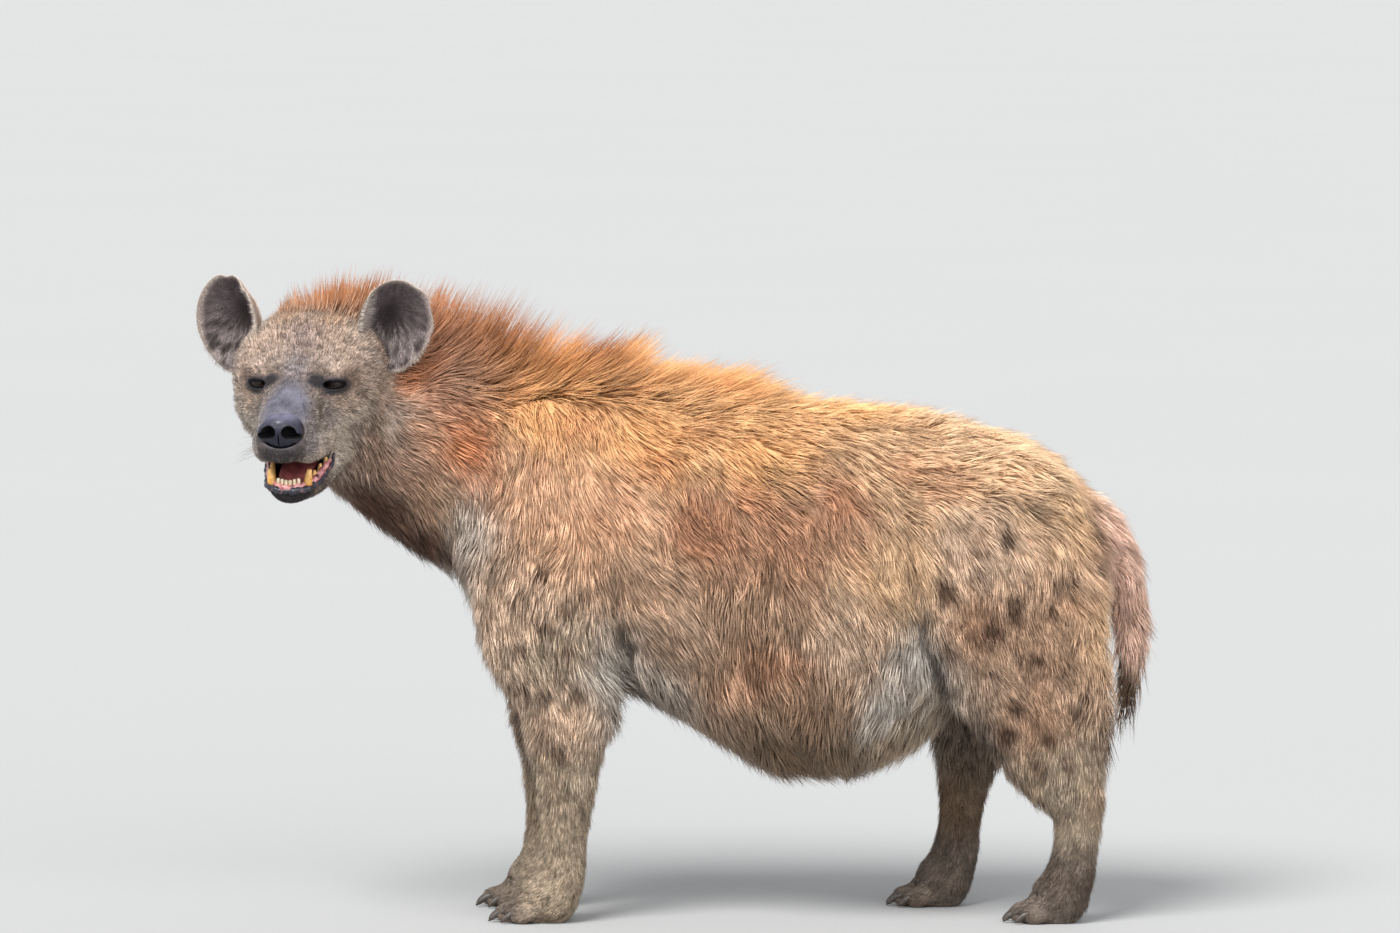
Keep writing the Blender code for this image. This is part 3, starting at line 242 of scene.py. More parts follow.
# Small dark marks on the face: forwards, left and up from the eyes, radius and strength
HEAD_MARKS = thousandths([
    (6, 4, 34, 7.5, 850), (4, -7, 38, 5, 800), (-8, 12, 44, 5, 700), (-2, -14, 40, 4, 600),
    (-50, -6, 76, 6, 750), (-45, 20, 72, 7, 500), (-30, -30, 60, 7, 500), (-20, 4, 54, 13, 400),
    (-20, 90, -20, 10, 500), (-35, 96, -60, 12, 500), (-5, 78, -40, 8, 500),
])
# As the spots
RUST_PATCHES = thousandths([
    (-57, 650, 35, 24, 500), (10, 565, 45, 40, 350), (136, 556, 45, 34, 200), (207, 605, 26, 22, 340),
    (7, 700, 24, 18, 350), (350, 632, 34, 28, 400), (150, 478, 30, 30, 120), (-120, 585, 30, 40, 250),
    (-310, 640, 30, 50, 250), (-180, 705, 30, 20, 400), (290, 650, 24, 20, 500), (80, 610, 28, 26, 300),
    (110, 372, 55, 20, 360), (60, 330, 35, 18, 300),
])
FAR_SPOT_SHIFT = (0.021, -0.012)  # of the markings on the right side

# x and z along each crease, which deepens along its way, and its half width
CREASES = [
    (thousandths([(284, 550), (300, 490), (315, 430), (332, 370), (348, 325)]), 0.013),
    (thousandths([(-124, 470), (-112, 430), (-104, 395), (-100, 355)]), 0.010),
]
CREASE_DEPTH = 0.015

HAIR_BASE_WIDTH = 0.0007
HAIR_WIDTH_SHARE = 0.025  # more width for each metre of length
HAIR_WIDEST = 0.0020
HAIR_THICK = 0.40  # of its width
COVER_LENGTHS = (0.004, 0.012, 0.030)  # lengths of hair
COVER = (0.97, 1.53, 2.24)  # and layers of it over the skin
SHORT_HAIR = 0.0215  # straight up to here
LONG_HAIR = 0.062

EAR_AT = (-0.098, 0.117, 0.067)
EAR_HALF = {1: (0.053, 0.0665), -1: (0.053, 0.0725)}  # across and up, left ear and right ear
EAR_LEAN = math.radians(14)  # outwards at the top
EAR_TURN = math.radians(26)  # its opening, outwards
EAR_DEPTH = 0.034
EAR_THICK = 0.0060
EAR_NICKS = {1: ((0.55, 0.05, 0.2), (1.25, 0.04, 0.2)), -1: ((1.75, 0.07, 0.14), (2.40, 0.10, 0.16))}
# The ear's deep hollow and its canal are darkened as painted shade.
EAR_PIT = ((-0.05, 0.30), (0.38, 0.36))  # the dark hollow: place and half size, as shares of the ear
EAR_CANAL = ((-0.50, -0.34), (0.22, 0.40))


# ---- forms ----
def dense(rows, between):
    """The table read along a smooth curve through its rows, with this many steps between two rows."""
    rows = np.array(rows, float)
    ends = np.vstack([2 * rows[0] - rows[1], rows, 2 * rows[-1] - rows[-2]])
    out = []
    for i in range(1, len(ends) - 2):
        a, b, c, d = ends[i - 1 : i + 3]
        bend, twist = 2 * a - 5 * b + 4 * c - d, 3 * b - a - 3 * c + d
        for t in np.arange(between) / between:
            straight = 2 * b + (c - a) * t
            out.append(0.5 * (straight + bend * t**2 + twist * t**3))
    return np.array(out + [rows[-1]])


def unit(vectors):
    return vectors / np.maximum(np.linalg.norm(vectors, axis=-1, keepdims=True), 1e-9)


def tube(rows, reference, around=32, between=4, power=2.3, dome=1.0, square_to=None):
    """A closed tube with domed ends.

    A row is x, y, z, half width, and its reach towards reference and away from it.
    The sections stand square to the path, or all square to one direction.
    """
    rows = dense(rows, between)
    middle, wide, front, back = rows[:, :3], rows[:, 3], rows[:, 4], rows[:, 5]
    along = unit(np.gradient(middle, axis=0))
    if square_to is not None:
        along = np.tile(unit(np.array(square_to, float)), (len(rows), 1))
    side = unit(np.cross(along, reference))
    rise = np.cross(side, along)
    rings = []
    for end, way, angles in ((0, -1, (60, 30)), (-1, 1, (30, 60))):
        depth = dome * min(wide[end], front[end], back[end])
        for angle in map(math.radians, angles):
            k = math.cos(angle)
            at = middle[end] + way * along[end] * depth * math.sin(angle)
            rings.append((at, side[end], rise[end], wide[end] * k, front[end] * k, back[end] * k))
        if end == 0:
            rings += list(zip(middle, side, rise, wide, front, back))
    turn = np.linspace(0, 2 * math.pi, around, endpoint=False)
    c = np.sign(np.cos(turn)) * np.abs(np.cos(turn)) ** (2 / power)
    s = np.sign(np.sin(turn)) * np.abs(np.sin(turn)) ** (2 / power)
    points = [middle[0] - along[0] * dome * min(wide[0], front[0], back[0])]
    for at, sideways, up, w, f, b in rings:
        points += list(at + np.outer(c * w, sideways) + np.outer(s * np.where(s > 0, f, b), up))
    points.append(middle[-1] + along[-1] * dome * min(wide[-1], front[-1], back[-1]))
    return np.array(points), ring_faces(len(rings), around)


def ring_faces(count, around):
    """Faces over rings of points, with a single point before the first ring and another after the last."""
    first = [1 + i * around for i in range(count)]
    faces = []
    for j in range(around):
        k = (j + 1) % around
        faces.append((0, 1 + k, 1 + j))
        faces += [(a + j, a + k, b + k, b + j) for a, b in zip(first, first[1:])]
        faces.append((first[-1] + j, first[-1] + k, first[-1] + around))
    return faces


def band(a, b, around):
    """Faces between two rings of points, which start at a and b."""
    return [(a + j, a + (j + 1) % around, b + (j + 1) % around, b + j) for j in range(around)]


def mass(centre, radii, turn=None, around=20):
    """A rounded mass: an ellipsoid with these half sizes, turned by a rotation matrix."""
    angles = np.linspace(0, math.pi, around // 2 + 1)
    rings = [(math.cos(a), math.sin(a)) for a in angles[1:-1]]
    round_way = np.linspace(0, 2 * math.pi, around, endpoint=False)
    points = [(r * math.cos(t), r * math.sin(t), z) for z, r in rings for t in round_way]
    points = np.array([(0, 0, 1), *points, (0, 0, -1)]) * radii
    if turn is not None:
        points = points @ np.array(turn).T
    return points + np.array(centre), ring_faces(len(rings), around)


def head_axes():
    """Forwards, to the hyena's left, and up, for the head."""
    level = math.cos(HEAD_PITCH)
    forwards = np.array([-math.sin(HEAD_YAW) * level, -math.cos(HEAD_YAW) * level, -math.sin(HEAD_PITCH)])
    left = unit(np.cross((0, 0, 1), forwards))
    return forwards, left, np.cross(forwards, left)


FORWARDS, LEFT, UP = head_axes()
HEAD_FRAME = np.array([FORWARDS, LEFT, UP])


def head_point(forwards, left, up):
    """A point given from the eyes: forwards, to the left, and up."""
    return EYES_AT + np.array([forwards, left, up]) @ HEAD_FRAME


def in_head(points):
    """The points as forwards, to the left and up from the eyes."""
    return (points - EYES_AT) @ HEAD_FRAME.T


def head_tube(rows, **how):
    rows = [(*head_point(f, 0, h), wide, up, down) for f, h, wide, up, down in rows]
    return tube(rows, UP, square_to=FORWARDS, **how)


def turned(pitch, yaw):
    """A turn in the head's own axes: nose down by pitch and to the left by yaw, in degrees."""
    level = Matrix.Rotation(math.radians(yaw), 3, "Z")
    return np.array(level @ Matrix.Rotation(math.radians(pitch), 3, "Y"))


def head_mass(at, radii, pitch=0.0, yaw=0.0, around=20):
    return mass(head_point(*at), radii, HEAD_FRAME.T @ turned(pitch, yaw), around)


def eye_at(side):
    return (-EYE_BACK, EYE_SPREAD * side, 0.0)


def mirrored(at, side):
    return (at[0], at[1] * side, at[2])


def opening_form(opening, side=1, around=40):
    """What an opening of the face takes out of it."""
    at, half, pitch, yaw = opening
    return head_mass(mirrored(at, side), half, pitch, yaw * side, around)


def joined(forms):
    """The points and the faces of several forms as one."""
    points, faces, start = [], [], 0
    for form_points, form_faces in forms:
        points.append(form_points)
        faces += [tuple(i + start for i in face) for face in form_faces]
        start += len(form_points)
    return np.concatenate(points), faces


def neck_form():
    return tube(NECK, (0, 0, 1), around=36)


def skull_forms():
    jaw_points, jaw_faces = head_tube(JAW, around=32, power=2.5, dome=0.8)
    forms = [head_tube(CRANIUM, around=40, power=2.4, dome=0.6), (jaw_points + LEFT * JAW_SHIFT, jaw_faces)]
    for side in (-1, 1):
        forms += [
            head_mass((-0.085, 0.066 * side, -0.042), (0.062, 0.041, 0.056)),  # jaw muscle and cheek
            head_mass((-0.036, 0.070 * side, -0.040), (0.052, 0.028, 0.030), yaw=-34 * side),  # cheekbone
            head_mass((-0.020, 0.054 * side, 0.024), (0.030, 0.034, 0.018), pitch=14),  # brow
            head_mass(eye_at(side), [EYE_RADIUS + 0.0048] * 3),  # lids
            head_mass((0.058, 0.034 * side, -0.079), (0.062, 0.020, 0.027), yaw=-15 * side),  # upper lip
        ]
    forms.append(head_mass(tuple(NOSE_AT), (0.024, 0.031, 0.025)))  # nose
    forms.append(head_mass((0.028, 0, -0.012), (0.062, 0.032, 0.024), pitch=17))  # bridge
    return forms


def leg_form(rows, side, spread, step):
    """A leg that draws in towards the floor. The step ahead grows over its first rows."""
    inwards = np.linspace(0, TOE_IN, len(rows))
    places = [
        (x + step * min(1, i / 4), side * (spread - inwards[i]), z, wide, front, back)
        for i, (x, z, wide, front, back) in enumerate(rows)
    ]
    return tube(places, (-1, 0, 0), around=28)


def paws():
    """Where each leg ends, and its paw's size."""
    return [(rows[-1][0] + step, side * (spread - TOE_IN), size) for rows, side, spread, step, size in LEGS]


def paw_forms(x, y, size):
    """A paw with four toes and its pad."""
    sized = np.array([size, size, 1.0])
    forms = [mass((x - ahead, y, z), half * sized) for (ahead, z), half in PAW_MASSES]
    for toe, (ahead, across) in enumerate(TOES):
        splay = Matrix.Rotation(TOE_SPLAY * (toe - 1.5), 3, "Z")
        at = (x - ahead * size, y - across * size, TOE_HEIGHT)
        forms.append(mass(at, TOE_HALF * sized, splay))
    return forms


def body_forms():
    torso = [(x, 0, level, wide, top - level, level - bottom) for x, top, level, bottom, wide in TORSO]
    forms = [tube(torso, (0, 0, 1), around=40, power=2.25, dome=0.5, square_to=(1, 0, 0)), neck_form()]
    forms += [leg_form(rows, side, spread, step) for rows, side, spread, step, _ in LEGS]
    for x, y, size in paws():
        forms += paw_forms(x, y, size)
    lean = Matrix.Rotation(math.radians(-14), 3, "Y")
    for side in (-1, 1):
        forms.append(mass((-0.205, 0.088 * side, 0.610), (0.095, 0.050, 0.160), lean))  # shoulder blade
        forms.append(mass((0.440, 0.088 * side, 0.580), (0.110, 0.056, 0.110)))  # haunch
    return forms


def tail_form():
    rows = [(x, 0.0, z, radius, radius, radius) for x, z, radius in TAIL]
    return tube(rows, (1, 0, 0), around=16, power=2.0)


# ---- meshes ----
def add_object(name, data):
    obj = bpy.data.objects.new(name, data)
    bpy.context.scene.collection.objects.link(obj)
    return obj


def make_object(name, points, faces):
    mesh = bpy.data.meshes.new(name)
    mesh.from_pydata([tuple(p) for p in points], [], [tuple(f) for f in faces])
    return add_object(name, mesh)


def make_solid(name, points, faces, **values):
    """A mesh with values for its points. Points that coincide are merged, and the faces turn outwards."""
    obj = make_object(name, points, faces)
    for key, value in values.items():
        give(obj, key, value)
    work = bmesh.new()
    work.from_mesh(obj.data)
    bmesh.ops.remove_doubles(work, verts=work.verts, dist=1e-6)
    bmesh.ops.recalc_face_normals(work, faces=work.faces)
    work.to_mesh(obj.data)
    work.free()
    return obj


def modify(obj, kind, **settings):
    """Changes the mesh by a modifier with these settings."""
    modifier = obj.modifiers.new(kind, kind)
    for key, value in settings.items():
        setattr(modifier, key, value)
    graph = bpy.context.evaluated_depsgraph_get()
    graph.update()
    mesh = bpy.data.meshes.new_from_object(obj.evaluated_get(graph))
    obj.modifiers.clear()
    obj.data = mesh


def remesh(obj, voxel):
    """One closed surface round everything in the object."""
    modify(obj, "REMESH", mode="VOXEL", voxel_size=voxel)


def blend(name, forms, voxel):
    obj = make_solid(name, *joined(forms))
    remesh(obj, voxel)
    return obj


def read(items, field, width, kind=float):
    """One field of all the items, a row for each."""
    values = np.empty(len(items) * width, kind)
    items.foreach_get(field, values)
    return values.reshape(-1, width)


def read_points(obj):
    return read(obj.data.vertices, "co", 3)


def read_normals(obj):
    return read(obj.data.vertices, "normal", 3)


def write_points(obj, points):
    obj.data.vertices.foreach_set("co", points.ravel())
    obj.data.update()


def relax(obj, times, weight):
    """Evens out the surface by a weight from 0 to 1, or by a function that gives each point its own."""
    points = read_points(obj)
    a, b = read(obj.data.edges, "vertices", 2, int).T
    ends, others = np.r_[a, b], np.r_[b, a]
    count = np.bincount(ends, minlength=len(points))
    amount = weight(points)[:, None] if callable(weight) else weight
    for _ in range(times):
        total = np.stack([np.bincount(ends, points[others, k], len(points)) for k in range(3)], 1)
        points = points + amount * 0.5 * (total / count[:, None] - points)
    write_points(obj, points)


def thin_out(obj, triangles):
    """Fewer triangles, with the most kept where the surface bends."""
    now = sum(len(p.vertices) - 2 for p in obj.data.polygons)
    modify(obj, "DECIMATE", ratio=triangles / now)


def remove(*objects):
    for obj in objects:
        bpy.data.objects.remove(obj)


def carve(obj, form):
    cutter = make_solid("cutter", *form)
    modify(obj, "BOOLEAN", operation="DIFFERENCE", solver="MANIFOLD", object=cutter)
    remove(cutter)


def surface_of(obj):
    return BVHTree.FromPolygons([v.co for v in obj.data.vertices], [p.vertices for p in obj.data.polygons])


def give(obj, name, values):
    """Stores a number or a colour for each point of the mesh."""
    kind, field = ("FLOAT_COLOR", "color") if values.ndim == 2 else ("FLOAT", "value")
    if values.ndim == 2:
        values = np.hstack([values, np.ones((len(values), 1))])
    layer = obj.data.attributes.new(name, kind, "POINT")
    layer.data.foreach_set(field, values.astype(np.float32).ravel())


def settle(obj, material, slot, smooth=True):
    """Moves a finished piece home, dresses it and lets it ride."""
    write_points(obj, read_points(obj) + HOME)
    obj.data.materials.clear()
    obj.data.materials.append(material)
    if smooth:
        obj.data.shade_smooth()
    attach(obj, "root")
    return obj


# ---- how the coat lies and what it looks like ----
def coat_table():
    """Every row of the coat's tables as arrays: place, lie, length, lift, tint."""
    rows = []
    for table, on_head, longer, flatter in ((HEAD_COAT, True, 1, 1), (BODY_COAT, False, LONGER, FLATTER)):
        for x, y, z, *lie, length, lift, tint in table:
            for side in (1, -1) if y else (1,):
                place, way = np.array([x, y * side, z]) / 1000, np.array(lie) * (1, side, 1)
                if on_head:
                    place, way = head_point(*place), way @ HEAD_FRAME
                rows.append((place, way, length * longer, lift * flatter, TINTS[tint]))
    places, lies, lengths, lifts, tints = (np.array(column) for column in zip(*rows))
    return places, unit(lies), lengths / 1000, np.radians(lifts), tints


COAT = coat_table()
NEAR = 0.018  # a row's own reach


def read_coat(points):
    """Lie, length, lift and tint of the coat at each point, blended from the rows near it."""
    places, lies, lengths, lifts, tints = COAT
    out = []
    for part in np.array_split(points, max(1, len(points) // 40000)):
        away = ((part[:, None, :] - places[None]) ** 2).sum(2)
        weight = 1 / (away + NEAR**2) ** 2
        weight /= weight.sum(1, keepdims=True)
        out.append((weight @ lies, weight @ lengths, weight @ lifts, weight @ tints))
    lie, length, lift, tint = (np.concatenate(column) for column in zip(*out))
    return unit(lie), length, lift, tint


def ripple(points, size, seed):
    """A smooth random field from about -1 to 1, with waves of this size."""
    chance = np.random.default_rng(seed)
    ways = unit(chance.normal(size=(9, 3))) * chance.uniform(0.7, 1.5, (9, 1)) * 2 * math.pi / size
    phases = chance.uniform(0, 2 * math.pi, 9)
    return np.sin(points @ ways.T + phases).sum(1) / 4


def ragged(points, size, seed):
    """Three random fields, by which the edges of a marking wander."""
    return np.stack([ripple(points, size, seed + k) for k in range(3)], 1)


def bell(value, middle, half):
    """1 at the middle, falling off smoothly on both sides of it."""
    return np.exp(-(((value - middle) / half) ** 2))


def fade(distance, start, end):
    """1 up to start and 0 from end on."""
    return np.clip((end - distance) / (end - start), 0, 1)


def blots(points, spots):
    """How deep in a spot each point lies, from 0 to the spot's strength. The edges are ragged."""
    moved = points + 0.005 * ragged(points, 0.030, 40)
    moved += 0.0025 * ragged(points, 0.010, 50)
    depth = np.zeros(len(points))
    for x, z, wide, high, strength in spots:
        for side, shift in ((-1, (0, 0)), (1, FAR_SPOT_SHIFT)):
            across = (moved[:, 0] - x - shift[0]) / wide
            up = (moved[:, 2] - z - shift[1]) / high
            here = strength * np.clip((1.45 - np.sqrt(across**2 + up**2)) * 1.6, 0, 1)
            depth = np.maximum(depth, here * (points[:, 1] * side > 0.02))
    return depth


def mix(a, b, share):
    share = np.asarray(share)[:, None]
    return a * (1 - share) + np.array(b) * share


def streaks(points):
    """Light and dark streaks that follow the lie of the coat."""
    lie = np.abs(read_coat(points)[0])
    down = ripple(points * (1, 0.7, 0.24), 0.020, 9) + 0.6 * ripple(points * (1, 0.7, 0.24), 0.010, 10)
    back = ripple(points * (0.24, 1, 1), 0.020, 11) + 0.6 * ripple(points * (0.24, 1, 1), 0.010, 12)
    return (down * lie[:, 2] + back * lie[:, 0]) / np.maximum(lie[:, 2] + lie[:, 0], 0.3)


def marked(points, tint):
    """The tint with the spots, patches and mottling of the coat, and painted shade in its creases and in a
    line under the ridge of the back.
    """
    head = in_head(points)
    body = np.clip((head[:, 0] + 0.05) / -0.08, 0, 1)
    tint = mix(tint, TINTS["rust"], 0.80 * blots(points, RUST_PATCHES))
    # The dark spots, and a line of painted shadow under the ridge of the back.
    tint = mix(tint, TINTS["umber"], 0.92 * blots(points, SPOTS_AND_RIDGE_SHADE))
    for *at, radius, strength in HEAD_MARKS:
        moved = head + 0.3 * radius * ragged(points, radius * 1.5, 70)
        away = np.linalg.norm((moved - np.array(at)) / radius, axis=1)
        tint = mix(tint, TINTS["umber"], strength * fade(away, 0.5, 1.2))
    tint = mix(tint, TINTS["soot"], 0.94 * face_black(points))
    warm = np.clip(ripple(points, 0.110, 3), 0, 1) * 0.34 * body
    tint = mix(tint, tint * (0.86, 0.70, 0.60), warm)
    light = np.clip(ripple(points, 0.085, 4), 0, 1) * 0.45 * body
    tint = mix(tint, tint * (1.20, 1.26, 1.32), light)
    tint = tint * (1 + 0.06 * ripple(points, 0.030, 5) + 0.15 * streaks(points) * body)[:, None]
    # Painted shade: the coat and skin darken towards the bottom of the creases.
    tint = mix(tint, tint * 0.22, 0.90 * crease(points))
    grizzle = 0.44 * ripple(points, 0.0050, 6) + 0.17 * ripple(points, 0.012, 7)
    return tint * (1 + grizzle * (1 - body))[:, None]


def crease(points):
    """1 at the bottom of the creases before the thighs and behind the elbows."""
    deep = np.zeros(len(points))
    x, z = (points + 0.004 * ripple(points, 0.05, 45)[:, None])[:, (0, 2)].T
    outer = np.clip((np.abs(points[:, 1]) - 0.06) / 0.03, 0, 1)
    for path, width in CREASES:
        fine = dense(path, 10)
        for (px, pz), share in zip(fine, np.linspace(0.15, 1.2, len(fine)).clip(0, 1)):
            deep = np.maximum(deep, share * np.exp(-((np.hypot(x - px, z - pz) / width) ** 2)) * outer)
    return deep


def within(points, at, radii, pitch=0.0, yaw=0.0):
    """Distance from a place on the head, 1 on the ellipsoid with these half sizes."""
    own = (in_head(points) - np.array(at)) @ turned(pitch, yaw)
    return np.linalg.norm(own / np.array(radii), axis=1)


def near(points, at, radii, start, end):
    """1 inside an ellipsoid on the head, fading from start to end, as shares of its half sizes."""
    return fade(within(points, at, radii), start, end)


def from_opening(points, opening, side=1):
    """Distance from an opening of the face, 1 on its edge."""
    at, half, pitch, yaw = opening
    return within(points, mirrored(at, side), half, pitch, yaw * side)


def bareness(points):
    """1 where the face's dark skin shows: the muzzle, the lids, the lips and the chin."""
    muzzle = near(points, (0.076, 0.002, -0.034), (0.075, 0.034, 0.042), 0.80, 1.15)
    lips = near(points, (0.100, 0, -0.074), (0.046, 0.046, 0.030), 0.7, 1.2)
    chin = near(points, (0.084, 0.004, -0.150), (0.032, 0.042, 0.024), 0.8, 1.1)
    return np.maximum.reduce([muzzle, 0.6 * lips, chin, 0.6 * eye_shadow(points)])


EYE_SHADOWS = [  # on the left: place and half sizes
    ((0.010, 0.056, -0.003), (0.024, 0.0225, 0.0120)),
    ((0.026, 0.035, 0.006), (0.014, 0.014, 0.0105)),
]


def eye_shadow(points):
    """1 on the black skin round the eyes and towards their inner corners."""
    both = [(mirrored(at, side), radii) for side in (-1, 1) for at, radii in EYE_SHADOWS]
    return np.maximum.reduce([near(points, at, radii, 0.70, 1.30) for at, radii in both])


def face_black(points):
    """1 where the face is black under and in its hair: by the eyes, on the chin and under the nose."""
    chin = near(points, (0.086, 0.004, -0.152), (0.032, 0.044, 0.025), 0.85, 1.15)
    under_nose = near(points, (0.118, 0.0, -0.086), (0.026, 0.036, 0.020), 0.6, 1.2)
    return np.maximum.reduce([eye_shadow(points), chin, 0.62 * under_nose])


def lip_rim(points):
    """1 on the black edge of the lips, round the mouth's opening."""
    rims = [fade(np.abs(from_opening(points, MOUTH) - 1.04), 0.04, 0.10)]
    for side in (-1, 1):
        rims.append(fade(np.abs(from_opening(points, MOUTH_CORNERS, side) - 1.05), 0.05, 0.14))
    return np.maximum.reduce(rims)


def baldness(points):
    """1 where no hair grows: the nose, the eyes' openings, the mouth and the soles."""
    bald = [near(points, NOSE_AT, NOSE_HALF, 1.03, 1.10), fade(from_opening(points, MOUTH), 1.06, 1.14)]
    for side in (-1, 1):
        bald.append(fade(from_opening(points, MOUTH_CORNERS, side), 1.06, 1.16))
        bald.append(near(points, eye_at(side), [EYE_RADIUS] * 3, 1.06, 1.16))
        bald.append(fade(from_opening(points, LID_SLIT, side), 1.08, 1.30))
    return np.maximum.reduce([*bald, fade(points[:, 2], 0.003, 0.007)])


def inside_mouth(points):
    corners = [fade(from_opening(points, MOUTH_CORNERS, side), 1.01, 1.08) for side in (-1, 1)]
    return np.maximum.reduce([fade(from_opening(points, MOUTH), 1.01, 1.06), *corners])


# ---- skin ----
def face_softness(points):
    """How much each point of the head evens out: less by the eyes, the nose and the lips."""
    softness = np.ones(len(points))
    eyes = [(eye_at(side), 0.026, 0.35) for side in (1, -1)]
    for at, reach, least in [*eyes, ((0.125, 0, -0.050), 0.035, 0.3), ((0.070, 0, -0.118), 0.060, 0.4)]:
        away = np.linalg.norm(points - head_point(*at), axis=1) / reach
        softness = np.minimum(softness, least + (1 - least) * np.clip(away - 0.6, 0, 1))
    return softness


def coat_depth(points):
    """How far the skin lies inside the tips of the coat."""
    _, length, lift, _ = read_coat(points)
    return length * np.sin(lift) * 1.05 * np.clip(points[:, 2] / 0.03, 0, 1)


def folds(points):
    """How far the face's creases go in: under the eyes, between them, and from the nose to the lips."""
    head = in_head(points)
    deep = np.zeros(len(points))
    for side in (-1, 1):
        own = head - np.array(eye_at(side))
        low = np.clip(-own[:, 2] / 0.012, 0, 1) * (own[:, 0] > 0)
        ring = np.linalg.norm(own * (0.8, 1.0, 1.25), axis=1)
        deep += low * (0.0012 * bell(ring, 0.0245, 0.0022) + 0.0009 * bell(ring, 0.0320, 0.0026))
        wing = within(points, mirrored((0.085, 0.020, -0.030), side), (0.030, 0.026, 0.024))
        lip = within(points, mirrored((0.070, 0.036, -0.085), side), (0.050, 0.030, 0.034))
        deep += 0.0012 * bell(wing, 1, 0.09) * (head[:, 0] < 0.108)
        deep += 0.0012 * bell(lip, 1, 0.07) * (head[:, 0] < 0.070)
    between_eyes = bell(head[:, 1], 0, 0.024) * bell(head[:, 2], 0.030, 0.020)
    waves = np.sin(head[:, 2] * 900 + 1.4 * np.cos(head[:, 1] * 120))
    return deep + 0.0006 * between_eyes * waves * (head[:, 0] > -0.05)


def toe_gaps(points):
    """How far the clefts between the toes go in."""
    deep = np.zeros(len(points))
    for x, y, size in paws():
        for (_, left), (_, right) in zip(TOES, TOES[1:]):
            ahead = (x - points[:, 0]) / size
            middle = (left + right) / 2 * (1 + 1.6 * np.clip(ahead - 0.04, 0, 0.04))
            across = (y - points[:, 1]) / size - middle
            here = np.clip((ahead - 0.026) / 0.024, 0, 1) * (points[:, 2] < 0.045)
            deep = np.maximum(deep, TOE_CLEFT * here * bell(across, 0, 0.0034))
    return deep


def build_skin():
    """The body and the head as in the solids, made one, then drawn in by the coat's depth."""
    body = blend("skin", body_forms() + skull_forms(), BODY_VOXEL)
    relax(body, 14, lambda p: np.clip((p[:, 2] - 0.06) / 0.10, 0.12, 1.0))
    relax(body, 50, lambda p: np.clip((p[:, 2] - 0.30) / 0.15, 0.0, 1.0))
    head = blend("head_form", skull_forms() + [neck_form()], HEAD_VOXEL)
    relax(head, 26, face_softness)
    tail = make_solid("tail_form", *tail_form())
    skin = join_meshes("skin", [body, head, tail])
    remesh(skin, SKIN_VOXEL)
    relax(skin, 8, 0.8)
    points = read_points(skin)
    inwards = coat_depth(points) + folds(points) + CREASE_DEPTH * crease(points) + toe_gaps(points)
    points = slim_chin(points - read_normals(skin) * inwards[:, None])
    points[:, 2] = np.maximum(points[:, 2], 0.0)
    write_points(skin, points)
    relax(skin, 3, lambda p: 0.6 * (p[:, 2] > 0.002))
    open_face(skin)
    thin_out(skin, SKIN_TRIANGLES)
    return skin


def slim_chin(points):
    """The same points, with the chin drawn together towards its bottom."""
    head = in_head(points)
    low = np.clip((-0.136 - head[:, 2]) / 0.024, 0, 1) * np.clip((head[:, 0] - 0.03) / 0.03, 0, 1)
    return points - np.outer(0.42 * low * (head[:, 1] - JAW_SHIFT), LEFT)


def join_meshes(name, objects):
    """One object from several, which overlap."""
    mesh = joined([(read_points(obj), [p.vertices for p in obj.data.polygons]) for obj in objects])
    remove(*objects)
    return make_object(name, *mesh)


def open_face(skin):
    """Opens the mouth and the lids and makes room for the nose pad and the eyeballs."""
    carve(skin, opening_form(MOUTH, around=48))
    carve(skin, head_mass(NOSE_AT + (0.007, 0, 0), NOSE_HALF * 0.95, around=40))
    for side in (-1, 1):
        carve(skin, opening_form(MOUTH_CORNERS, side))
        carve(skin, head_mass(eye_at(side), [EYE_RADIUS + GAP] * 3, around=40))
        carve(skin, opening_form(LID_SLIT, side, 36))


def dress_skin(skin):
    points = read_points(skin)
    give(skin, "tint", marked(points, read_coat(points)[3]))
    give(skin, "bare", bareness(points))
    give(skin, "black", np.maximum(face_black(points), lip_rim(points)))
    give(skin, "mouth", inside_mouth(points))
    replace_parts(settle(skin, skin_finish(), "coat"), *FLESH)


# ---- coat ----
class Surface:
    """The skin as triangles to grow hair on."""

    def __init__(self, obj):
        mesh = obj.data
        mesh.calc_loop_triangles()
        self.corners = read(mesh.loop_triangles, "vertices", 3, int)
        self.points = read_points(obj)
        self.normals = read_normals(obj)
        a, b, c = (self.points[self.corners[:, k]] for k in range(3))
        self.areas = np.linalg.norm(np.cross(b - a, c - a), axis=1) / 2

    def scatter(self, density, chance):
        """Places and normals, with density at each corner in hairs for each square metre."""
        wanted = self.areas * density[self.corners].mean(1)
        picks = chance.choice(len(wanted), int(wanted.sum()), p=wanted / wanted.sum())
        u, v = chance.random((2, len(picks)))
        flip = u + v > 1
        u[flip], v[flip] = 1 - u[flip], 1 - v[flip]
        shares = np.stack([1 - u - v, u, v], 1)[:, :, None]
        chosen = self.corners[picks]
        return (self.points[chosen] * shares).sum(1), unit((self.normals[chosen] * shares).sum(1))


def hair_width(length):
    return np.minimum(HAIR_BASE_WIDTH + HAIR_WIDTH_SHARE * length, HAIR_WIDEST)


MANE_BACK, MANE_LOW = 0.14, 0.66  # x of its end, and its lowest roots
MANE_REACH = 0.082  # to each side of its middle
MANE_EDGE = 0.042
MANE_LENGTHS = (0.03, 0.105)


def tree_of(points):
    """A search tree over the points."""
    tree = KDTree(len(points))
    for i, point in enumerate(points):
        tree.insert(point, i)
    tree.balance()
    return tree


